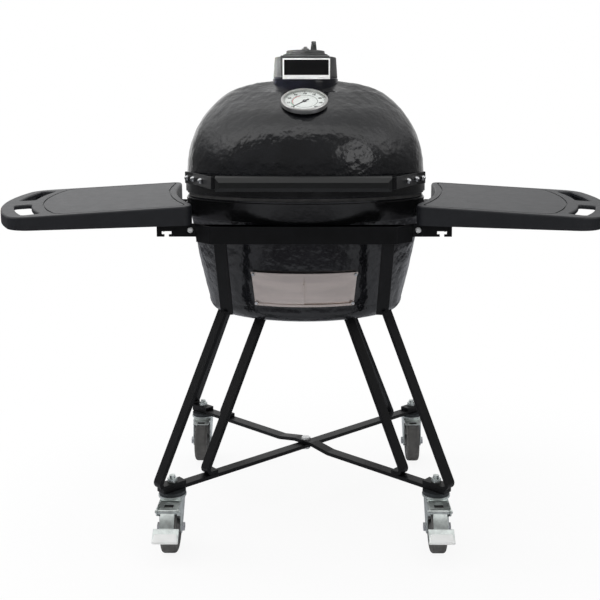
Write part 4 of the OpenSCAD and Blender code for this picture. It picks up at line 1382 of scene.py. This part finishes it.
@dataclass(frozen=True)
class Chimney:
    """The collar, the cast cap with its bare plate, and the turning damper.

    Attributes:
        cap_edge: Easing of the cap.
        plate: Width, thickness and height of the plate.
        moved: Its place from the middle of the solid one.
        border: Width of its pale border.
        strip: Height of the border along its foot.
        sunk: Depth of its black field.
        step: Width of the step round the field.
        disc_edge: Easing of the damper disc.
        tab_x: Place of its tab from the axis.
        tab_h: Height of the tab.
        tab_near: Distance from the tab's middle within which points belong to it.
        tab_slack: Depth below its foot at which points still belong to it.
        tab_upper: Height above its foot from which points belong to its top.
        tab_top: Width of the tab's top as a share of the solid one's.
        tab_foot: Width of its foot as a share of the solid one's.
        nut: Outline of the nut on the bolt: distances from the axis and heights.
        nut_segments: Faces round the nut.
        collar_in: Inner radius of the collar.
        collar_lip: Width and depth of the chamfer inside its rim.
        collar_flat: Radius where its flat rim ends.
        collar_round: Rounding of the rim.
        collar_out: Greatest radius of the collar.
        collar_swell: Depth below the rim where it is reached.
        collar_h: Height of the collar.
        collar_gap: Gap between the collar and the cap.
        collar_segments: Faces round the collar.
    """

    cap_edge: float = 0.0015
    plate: Triple = (0.100, 0.004, 0.0435)
    moved: Triple = (0.003, 0.0, -0.0060)
    border: float = 0.003
    strip: float = 0.0085
    sunk: float = 0.0008
    step: float = 0.0003
    disc_edge: float = 0.0014
    tab_x: float = 0.018
    tab_h: float = 0.021
    tab_near: float = 0.008
    tab_slack: float = 0.0005
    tab_upper: float = 0.01
    tab_top: float = 0.88
    tab_foot: float = 1.3
    nut: tuple[Span, ...] = (
        (0.0005, 0.0), (0.0042, 0.0), (0.0042, 0.0032), (0.0028, 0.0045), (0.0005, 0.0047)
    )
    nut_segments: int = 24
    collar_in: float = 0.0500
    collar_lip: float = 0.0020
    collar_flat: float = 0.0680
    collar_round: float = 0.0035
    collar_out: float = 0.0722
    collar_swell: float = 0.014
    collar_h: float = 0.036
    collar_gap: float = 0.0003
    collar_segments: int = 96

    def front_plate(self, maker: Maker) -> None:
        """Builds the plate: a block whose black field lies inside a pale border.

        Args:
            maker: Makes the piece.
        """
        middle = middle_of("cap_plate") + Vector(self.moved)
        shape = block(self.plate, Matrix.Translation(middle))
        face = min(shape.faces, key=lambda f: f.calc_center_median().y)
        bmesh.ops.inset_region(shape, faces=[face], thickness=self.border, use_even_offset=True)
        for v in face.verts:
            if v.co.z < middle.z:
                v.co.z += self.strip - self.border
        bmesh.ops.inset_region(shape, faces=[face], thickness=self.step, depth=-self.sunk)
        front = middle.y - self.plate[1] / 2.0
        maker.piece(
            "cap_plate_bordered", shape, PLATE_EDGE, "cap_plate", ["cap_plate"], PLATE,
            lambda p, n: n.y > -0.5 or p.y > front + self.sunk / 2.0,
        )

    def damper(self, maker: Maker) -> None:
        """Builds the damper disc with a tapering tab, and the nut on its bolt.

        Args:
            maker: Makes the pieces.
        """
        shape = maker.copy("vent_disc")
        middle = middle_of("vent_disc")
        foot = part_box("vent_disc")[1][2] - self.tab_h
        for v in shape.verts:
            off = v.co.x - self.tab_x
            near = abs(off) < self.tab_near and abs(v.co.y - middle.y) < self.tab_near
            if near and v.co.z > foot - self.tab_slack:
                share = self.tab_top if v.co.z > foot + self.tab_upper else self.tab_foot
                v.co.x = self.tab_x + off * share
        ease(shape, self.disc_edge, 3)
        maker.piece("vent_disc_eased", shape, CAP_IRON, "vent_disc", ["vent_disc"])
        seat = middle_of("vent_bolt")
        seat.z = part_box("vent_bolt")[1][2]
        maker.piece("vent_nut", turned(self.nut, seat, UP, self.nut_segments), SATIN, "vent_bolt")
        maker.dress("vent_bolt", SATIN)

    def collar(self, maker: Maker) -> None:
        """Rings the smoke hole with the smooth glazed collar under the cap.

        Args:
            maker: Makes the piece.
        """
        top = middle_of("vent_cap")
        top.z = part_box("vent_cap")[0][2] - self.collar_gap
        inner, lip = self.collar_in, self.collar_lip
        outline = [(inner, -self.collar_h), (inner, -lip), (inner + lip, 0.0), (self.collar_flat, 0.0)]
        outline += rounded(outline[-1], self.collar_round, -1.0)
        outline += [(self.collar_out, -self.collar_swell), (self.collar_out, -self.collar_h)]
        maker.piece("collar_ring", turned(outline, top, UP, self.collar_segments), COLLAR, "lid_shell")

    def build(self, maker: Maker) -> None:
        """Builds the chimney.

        Args:
            maker: Makes the pieces.
        """
        maker.soften("vent_cap", CAP_IRON, self.cap_edge)
        self.front_plate(maker)
        self.damper(maker)
        self.collar(maker)


@dataclass(frozen=True)
class Thermometer:
    """The dial thermometer on the sloping panel.

    Places on the scale go from 0 at its start to 1 at its end.

    Attributes:
        slope: Slope of the panel, in radians.
        bezel_edge: Easing of the bezel.
        dial_half: Half the thickness of the dial.
        face: Radius of the printed face.
        ink: Thickness of the print.
        start: Direction of the scale's start, at the lower left, in degrees.
        sweep: Angle that the scale covers clockwise, in degrees.
        ticks: Steps of the scale.
        group: Steps from one long tick to the next.
        long: Length and width of a long tick.
        short: Length and width of a short tick.
        circle: Inner and outer radius of the thin circle.
        numbers: Steps from the first number to the last.
        first: The first number.
        gain: What each number adds.
        number_r: Distance of the numbers from the middle.
        number_size: Height of their letters.
        bolder: How far their outlines are thickened, as a share of the size.
        green: Places between which the green band lies.
        green_ring: Its inner and outer radius.
        red: Places between which the red band lies.
        red_ring: Its inner and outer radius.
        band_steps: Boxes of a band along the whole scale.
        lap: Length of such a box as a share of its step.
    """

    slope: float = math.radians(29.0)
    bezel_edge: float = 0.0006
    dial_half: float = 0.0005
    face: float = 0.0425
    ink: float = 0.00012
    start: float = 225.0
    sweep: float = 270.0
    ticks: int = 40
    group: int = 5
    long: Span = (0.0040, 0.0012)
    short: Span = (0.0022, 0.0007)
    circle: Span = (0.0262, 0.0270)
    numbers: int = 8
    first: int = 10
    gain: int = 5
    number_r: float = 0.0338
    number_size: float = 0.0078
    bolder: float = 0.05
    green: Span = (0.02, 0.12)
    green_ring: Span = (0.0279, 0.0293)
    red: Span = (0.08, 0.42)
    red_ring: Span = (0.0238, 0.0252)
    band_steps: int = 80
    lap: float = 1.02

    def frame(self) -> Matrix:
        """Place of the dial: Z out of its face, Y up the slope."""
        place = Matrix.Translation(middle_of("thermometer_dial")) @ Matrix.Rotation(self.slope, 4, "X")
        return place @ Matrix.Translation((0.0, 0.0, self.dial_half + self.ink / 2.0))

    def angle(self, share: float) -> float:
        """Direction of a place on the scale, in radians."""
        return math.radians(self.start - self.sweep * share)

    def mark(self, share: float, radius: float, size: Span) -> Shape:
        """A tick of the scale.

        Args:
            share: Place on the scale.
            radius: Distance of its middle from the dial's.
            size: Length along the radius and width.

        Returns:
            A flat box in place.
        """
        turn = Matrix.Rotation(self.angle(share), 4, "Z")
        place = self.frame() @ turn @ Matrix.Translation((radius, 0.0, 0.0))
        return block((*size, self.ink), place)

    def band(self, places: Span, radii: Span) -> Shape:
        """Part of a flat ring.

        Args:
            places: Its start and end on the scale.
            radii: Its inner and outer radius.

        Returns:
            Flat boxes in place.
        """
        (start, end), (inner, outer) = places, radii
        steps = max(2, int(self.band_steps * (end - start)))
        length = math.radians(self.sweep) * (end - start) / steps * outer * self.lap
        shares = [start + (end - start) * (i + 0.5) / steps for i in range(steps)]
        return joined([self.mark(s, (inner + outer) / 2.0, (outer - inner, length)) for s in shares])

    def number(self, text: str, share: float) -> Shape:
        """A printed number, upright on the dial.

        Args:
            text: The number.
            share: Its place on the scale.

        Returns:
            Its flat mesh in place.
        """
        data = bpy.data.curves.new("number", "FONT")
        data.body = text
        data.size = self.number_size
        data.align_x = "CENTER"
        data.align_y = "CENTER"
        data.offset = self.number_size * self.bolder
        item = bpy.data.objects.new("number", data)
        bpy.context.scene.collection.objects.link(item)
        mesh = item.to_mesh(depsgraph=bpy.context.evaluated_depsgraph_get())
        shape = bmesh.new()
        shape.from_mesh(mesh)
        item.to_mesh_clear()
        bpy.data.objects.remove(item)
        angle, r = self.angle(share), self.number_r
        place = self.frame() @ Matrix.Translation((r * math.cos(angle), r * math.sin(angle), 0.0))
        bmesh.ops.transform(shape, matrix=place, verts=shape.verts[:])
        return shape

    def build(self, maker: Maker) -> None:
        """Dresses the bezel and prints the dial.

        Args:
            maker: Makes the pieces.
        """
        maker.soften("thermometer_bezel", SATIN, self.bezel_edge)
        for node, finish in (
            ("thermometer_dial", DIAL_WHITE), ("thermometer_needle", INK), ("thermometer_glass", GLASS),
            ("thermometer_stem", STEEL),
        ):
            maker.dress(node, finish)
        shapes = []
        for i in range(self.ticks + 1):
            size = self.short if i % self.group else self.long
            shapes.append(self.mark(i / self.ticks, self.face - size[0] / 2.0, size))
        shapes.append(self.band((0.0, 360.0 / self.sweep), self.circle))
        for i in range(self.numbers + 1):
            shapes.append(self.number(str(self.first + self.gain * i), i / self.numbers))
        maker.piece("dial_print", joined(shapes), INK, "thermometer_dial")
        maker.piece("dial_green", self.band(self.green, self.green_ring), INK_GREEN, "thermometer_dial")
        maker.piece("dial_red", self.band(self.red, self.red_ring), INK_RED, "thermometer_dial")


@dataclass(frozen=True)
class Casters:
    """The four casters, the front ones with a brake pedal.

    Attributes:
        wheel: Radius of the wheels.
        half: Half the width of the tread.
        rubber: Thickness of the tyre.
        tread: Rounding of the tread.
        bore: Radius of the core's bore.
        boss: Radius of the hub's flat end.
        bevel: Width of the small bevels on the core.
        dish: Inner and outer radius of the hollow in the core's side.
        dish_depth: Depth of that hollow.
        core: Radius of the core.
        metal_edge: Easing of forks and pedals.
        stem_edge: Easing of the stems.
        race: Height above a leg's foot up to which a stem shows its dark race.
        pad: Size of the white pad on a pedal.
        pad_round: Rounding of the pad.
        pad_out: How far the pad reaches past the pedal's tip.
        taper: Width of its upper edge as a share of the lower.
        lean: Slope of the pad, in radians.
        tongue: Thickness of the pedal's tip.
        hood_back: Y and Z of the hood's rear edge from the axle.
        hood_front: Y and Z of its front edge.
        hood_w: Width of the hood.
        hood_t: Thickness of its sheet.
        hood_edge: Easing of the hood.
        window_w: Width of the window in it.
        window: Length of the window as a share of the hood's.
        window_at: Place of its middle as a share of the hood's length.
        window_tool: Height of the window's tool.
    """

    wheel: float = 0.050
    half: float = 0.015
    rubber: float = 0.016
    tread: float = 0.006
    bore: float = 0.0056
    boss: float = 0.013
    bevel: float = 0.001
    dish: Span = (0.017, 0.030)
    dish_depth: float = 0.006
    core: float = 0.0338
    metal_edge: float = 0.0008
    stem_edge: float = 0.0004
    race: float = 0.006
    pad: Triple = (0.0525, 0.0195, 0.0084)
    pad_round: float = 0.0035
    pad_out: float = 0.0008
    taper: float = 0.84
    lean: float = math.radians(42.0)
    tongue: float = 0.003
    hood_back: Span = (-0.006, 0.0545)
    hood_front: Span = (-0.0310, 0.0505)
    hood_w: float = 0.0385
    hood_t: float = 0.0016
    hood_edge: float = 0.0004
    window_w: float = 0.018
    window: float = 0.42
    window_at: float = -0.16
    window_tool: float = 0.01

    def tyre(self, corner: str, maker: Maker) -> None:
        """Builds a wheel from a rubber tyre with a rounded tread and a plastic core.

        Args:
            corner: Corner of the stand.
            maker: Makes the pieces.
        """
        node = f"{corner}_wheel"
        low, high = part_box(node)
        middle = middle_of(node)
        tread = [(self.wheel - self.rubber, -self.half), (self.wheel - self.tread, -self.half)]
        tread += rounded(tread[-1], self.tread, 1.0)
        rim = tread + [(r, -h) for r, h in reversed(tread)]
        maker.piece(f"{corner}_tyre", turned(rim, middle, ACROSS), RUBBER, node, [node])
        hub = (high[0] - low[0]) / 2.0
        floor = self.half - self.dish_depth
        side = [(self.bore, hub), (self.boss, hub), (self.boss + self.bevel, hub - self.bevel)]
        side += [(r, floor) for r in self.dish] + [(self.core, self.half - self.bevel)]
        core = side + [(r, -h) for r, h in reversed(side)]
        maker.piece(f"{corner}_core", turned(core, middle, ACROSS), HUB, node)

    def pedal(self, side: str, maker: Maker) -> None:
        """Dresses a brake pedal and slips a white pad over its end.

        Args:
            side: Side of the stand.
            maker: Makes the pieces.
        """
        node = f"front_{side}_pedal"
        maker.soften(node, ZINC, self.metal_edge)
        tip = Vector(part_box(node)[0]) + Vector((0.0, math.sin(self.lean), math.cos(self.lean))) * self.tongue
        tip.x = middle_of(node).x
        place = Matrix.Translation(tip) @ Matrix.Rotation(self.lean, 4, "X")
        place = place @ Matrix.Translation((0.0, self.pad[1] / 2.0 - self.pad_out, 0.0))
        shape = block(self.pad, place)
        middle = place.to_translation()
        for v in shape.verts:
            if v.co.y > middle.y:
                v.co.x = middle.x + (v.co.x - middle.x) * self.taper
        ease(shape, self.pad_round, 3)
        maker.piece(f"{node}_pad", shape, PEDAL, node)

    def hood(self, corner: str, maker: Maker) -> None:
        """Closes the top of a fork in front of its wheel with a sheet that has a window.

        Args:
            corner: Corner of the stand.
            maker: Makes the piece.
        """
        axle = middle_of(f"{corner}_wheel")
        back, front = (axle + Vector((0.0, *edge)) for edge in (self.hood_back, self.hood_front))
        along = back - front
        length = along.length
        slope = Matrix.Rotation(math.atan2(along.z, along.y), 4, "X")
        place = Matrix.Translation((back + front) / 2.0) @ slope
        sheet = block((self.hood_w, length, self.hood_t), place)
        opening = place @ Matrix.Translation((0.0, length * self.window_at, 0.0))
        tool = block((self.window_w, length * self.window, self.window_tool), opening)
        shape = combine(sheet, tool, Join.CUT)
        ease(shape, self.hood_edge, 2)
        maker.piece(f"{corner}_hood", shape, ZINC, f"{corner}_fork")

    def build(self, maker: Maker) -> None:
        """Builds the casters.

        Args:
            maker: Makes the pieces.
        """
        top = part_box("front_left_leg")[0][2] + self.race
        maker.soften("caster_stems", RACE, self.stem_edge, other=ZINC, where=lambda p, n: p.z > top)
        for corner in CORNERS:
            maker.soften(f"{corner}_fork", ZINC, self.metal_edge)
            self.hood(corner, maker)
            maker.dress(f"{corner}_axle", STEEL)
            self.tyre(corner, maker)
        for side in SIDES:
            self.pedal(side, maker)


@dataclass(frozen=True)
class Floor:
    """A pale floor that fades into the white background and keeps the shadow.

    Spans of distance from the part's middle are given as squares.

    Attributes:
        half: Half its width.
        cells: Squares along each side of its mesh.
        pale: Its colour in matt light.
        near: Colour that glossy surfaces see under the part.
        away: Colour that they see farther off.
        shadow: Share of white under the part, where the shadow shows most.
        fade: Span over which the shadow fades out.
        dim: Span over which the near colour turns into the farther one.
        beside: Span of X where a bright side begins.
        beside_end: Span of X where it ends.
        left: Brightness of the left side.
        ahead: Span where the bright ring in front begins.
        ahead_end: Span where it ends.
        ahead_turn: How far the ring is turned to the right.
        ahead_ends: Span across which its two ends fade.
        ahead_share: Its brightness.
    """

    half: float = 9.0
    cells: int = 8
    pale: Color = (0.92, 0.92, 0.92)
    near: Color = (0.52, 0.53, 0.56)
    away: Color = (0.1, 0.1, 0.11)
    shadow: float = 0.9
    fade: Span = (0.15, 1.2)
    dim: Span = (0.45, 1.25)
    beside: Span = (0.65, 1.05)
    beside_end: Span = (1.4, 1.9)
    left: float = 0.6
    ahead: Span = (2.85, 3.25)
    ahead_end: Span = (5.0, 8.0)
    ahead_turn: float = 0.3
    ahead_ends: Span = (0.6, 1.3)
    ahead_share: float = 0.9

    def side(self, x: Value) -> Value:
        """Bright strip on the side that x points to."""
        return x.rise(*self.beside) * (1.0 - x.rise(*self.beside_end))

    def dimmed(self, x: Value, y: Value) -> Value:
        """Share of the farther colour in what glossy surfaces see.

        Args:
            x: Place across.
            y: Place in depth.

        Returns:
            The share, from 0 to 1.
        """
        out = x * x + y * y
        sides = self.side(x) + self.side(x * -1.0) * self.left
        ends = (x * self.ahead_turn - y).rise(*self.ahead_ends)
        ahead = out.rise(*self.ahead) * (1.0 - out.rise(*self.ahead_end)) * ends
        return out.rise(*self.dim) * (1.0 - sides) * (1.0 - ahead * self.ahead_share)

    def material(self) -> bpy.types.Material:
        """White to the camera, pale to matt light and grey to glossy surfaces.

        Returns:
            The material.
        """
        made = bpy.data.materials.new("floor_white")
        made.use_nodes = True
        graph = Graph(made.node_tree)
        seen, mirrored = graph.rays("Camera", "Glossy")
        x, y, _ = graph.parts(graph.place())
        matt, near, away = (
            graph.node("ShaderNodeBsdfDiffuse", None, {"Color": (*color, 1.0)})
            for color in (self.pale, self.near, self.away)
        )
        white = graph.node("ShaderNodeEmission", None, {"Color": (1.0, 1.0, 1.0, 1.0), "Strength": 1.0})
        lit = graph.blend(mirrored, matt, graph.blend(self.dimmed(x, y), near, away))
        far = (x * x + y * y).rise(*self.fade)
        whole = graph.blend(seen * (far * (1.0 - self.shadow) + self.shadow), lit, white)
        graph.node("ShaderNodeOutputMaterial", None, {"Surface": whole.outputs[0]})
        return made

    def build(self) -> None:
        """Lays the floor."""
        shape = bmesh.new()
        bmesh.ops.create_grid(shape, x_segments=self.cells, y_segments=self.cells, size=self.half)
        mesh = bpy.data.meshes.new("floor")
        shape.to_mesh(mesh)
        shape.free()
        mesh.materials.append(self.material())
        made = bpy.data.objects.new("floor", mesh)
        bpy.context.scene.collection.objects.link(made)


@dataclass(frozen=True)
class Room:
    """White surroundings, which glossy surfaces see dimmer towards the camera's side.

    Spans are parts of a direction's unit vector.

    Attributes:
        lean: How far the front edge of the bright ceiling leans back.
        edge: Span of that edge.
        over: Span of height where the ceiling begins.
        back: Span of depth where the bright back begins.
        right: Span across which the right side gets dimmer.
        strip: Span over which a brighter strip along the ceiling's edge ends.
        strip_light: Brightness of the strip.
        ceiling_light: Brightness of the ceiling.
        ceiling_right: What it loses on the right.
        back_light: Brightness of the back.
        back_right: What it loses on the right.
        haze: Span of height where a faint glow begins.
        haze_light: Brightness of the glow.
        least: Brightness everywhere.
        matt: Brightness for matt surfaces.
    """

    lean: float = 0.58
    edge: Span = (-0.02, 0.03)
    over: Span = (0.2, 0.55)
    back: Span = (0.55, 0.95)
    right: Span = (-0.25, 0.45)
    strip: Span = (0.15, 0.55)
    strip_light: float = 0.6
    ceiling_light: float = 0.62
    ceiling_right: float = 0.26
    back_light: float = 0.75
    back_right: float = 0.35
    haze: Span = (-0.1, 0.35)
    haze_light: float = 0.12
    least: float = 0.1
    matt: float = 0.5

    def mirrored(self, across: Value, depth: Value, up: Value) -> Value:
        """Brightness that glossy surfaces see.

        Args:
            across: X of the direction.
            depth: Y of the direction.
            up: Z of the direction.

        Returns:
            The brightness.
        """
        over = depth + up * self.lean
        above = over.rise(*self.edge) * up.rise(*self.over)
        behind = depth.rise(*self.back) * (1.0 - above)
        side = across.rise(*self.right)
        strip = above * (1.0 - over.rise(*self.strip)) * self.strip_light
        ceiling = above * (self.ceiling_light - side * self.ceiling_right)
        back = behind * (self.back_light - side * self.back_right)
        return ceiling + strip + back + up.rise(*self.haze) * self.haze_light + self.least

    def build(self) -> None:
        """Sets the world up: white to the camera and through glass."""
        world = bpy.data.worlds.new("studio")
        bpy.context.scene.world = world
        world.use_nodes = True
        graph = Graph(world.node_tree)
        camera, glossy, through = graph.rays("Camera", "Glossy", "Transmission")
        way = graph.parts(graph.node("ShaderNodeTexCoord").outputs["Generated"])
        rest = through + (1.0 - through) * self.matt
        strength = camera + (1.0 - camera) * (glossy * self.mirrored(*way) + (1.0 - glossy) * rest)
        light = graph.node(
            "ShaderNodeBackground", None, {"Color": (1.0, 1.0, 1.0, 1.0), "Strength": strength}
        )
        graph.node("ShaderNodeOutputWorld", None, {"Surface": light.outputs[0]})


@dataclass(frozen=True)
class Lamp:
    """A soft rectangular lamp.

    Attributes:
        name: Name of the lamp.
        place: Its middle.
        aim: Point that it faces.
        size: Width and height.
        power: Watts.
        mirrored: Whether only glossy surfaces show it. Otherwise it only lights matt ones.
        spread: Angle that its beam fills, in degrees.
    """

    name: str
    place: Triple
    aim: Triple
    size: Span
    power: float
    mirrored: bool = False
    spread: float = 180.0

    def build(self) -> None:
        """Hangs the lamp, out of the camera's sight."""
        data = bpy.data.lights.new(self.name, "AREA")
        data.shape = "RECTANGLE"
        data.size, data.size_y = self.size
        data.energy = self.power
        data.spread = math.radians(self.spread)
        made = bpy.data.objects.new(self.name, data)
        made.location = self.place
        made.rotation_euler = (Vector(self.aim) - Vector(self.place)).to_track_quat("-Z", "Y").to_euler()
        made.visible_camera = False
        made.visible_glossy = self.mirrored
        made.visible_diffuse = not self.mirrored
        bpy.context.scene.collection.objects.link(made)


@dataclass(frozen=True)
class Studio:
    """Camera, floor, room and lamps.

    Attributes:
        lens: Focal length, in millimetres.
        sensor: Width of the sensor, in millimetres.
        eye: Place of the camera.
        pitch: Fall of its axis, in degrees.
        yaw: Turn of its axis to the left, in degrees.
        shift: Sideways and upward shift of the frame.
        lamps: The lamps.
    """

    lens: float = 52.78
    sensor: float = 36.0
    eye: Triple = (0.0286, -1.9144, 0.8571)
    pitch: float = 6.0
    yaw: float = 0.17
    shift: Span = (-0.0264, -0.144)
    lamps: tuple[Lamp, ...] = (
        Lamp("ceiling", (-0.5, 0.3, 2.5), (-0.5, 0.3, 0.0), (4.2, 3.5), 60.0),
        Lamp("window", (2.27, -1.96, 2.0), (0.1, -0.1, 0.8), (1.4, 1.5), 9.0, mirrored=True),
        Lamp("side", (-3.0, 0.4, 1.3), (0.0, 0.0, 0.9), (1.5, 1.2), 24.0),
        Lamp("cap", (-2.5, -0.5, 1.3), (-0.07, 0.0, 1.01), (0.1, 0.1), 0.3, spread=6.5),
        Lamp("front", (-0.6, -3.2, 1.6), (0.0, 0.0, 0.6), (3.8, 2.2), 6.0),
    )

    def camera(self) -> None:
        """Sets up the camera of the photograph."""
        data = bpy.data.cameras.new("camera")
        data.sensor_width = self.sensor
        data.lens = self.lens
        data.shift_x, data.shift_y = self.shift
        made = bpy.data.objects.new("camera", data)
        made.location = self.eye
        made.rotation_euler = (math.radians(90.0 - self.pitch), 0.0, math.radians(self.yaw))
        bpy.context.scene.collection.objects.link(made)
        bpy.context.scene.camera = made

    def build(self) -> None:
        """Sets the whole studio up."""
        bpy.context.scene.view_settings.view_transform = "Standard"
        self.camera()
        for item in (Floor(), Room(), *self.lamps):
            item.build()


def main() -> None:
    """Loads the CAD solids and builds the visible pieces and the studio."""
    logging.basicConfig(level=logging.INFO, format="%(message)s", stream=sys.stdout)
    maker = Maker(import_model())
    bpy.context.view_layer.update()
    oval = Oval(middle_of("lid_shell").y)
    for group in (Ceramic(oval), Fittings(), DraftDoor(), Shelves(), Chimney(), Thermometer(), Casters()):
        group.build(maker)
    Studio().build()


if __name__ == "__main__":
    main()
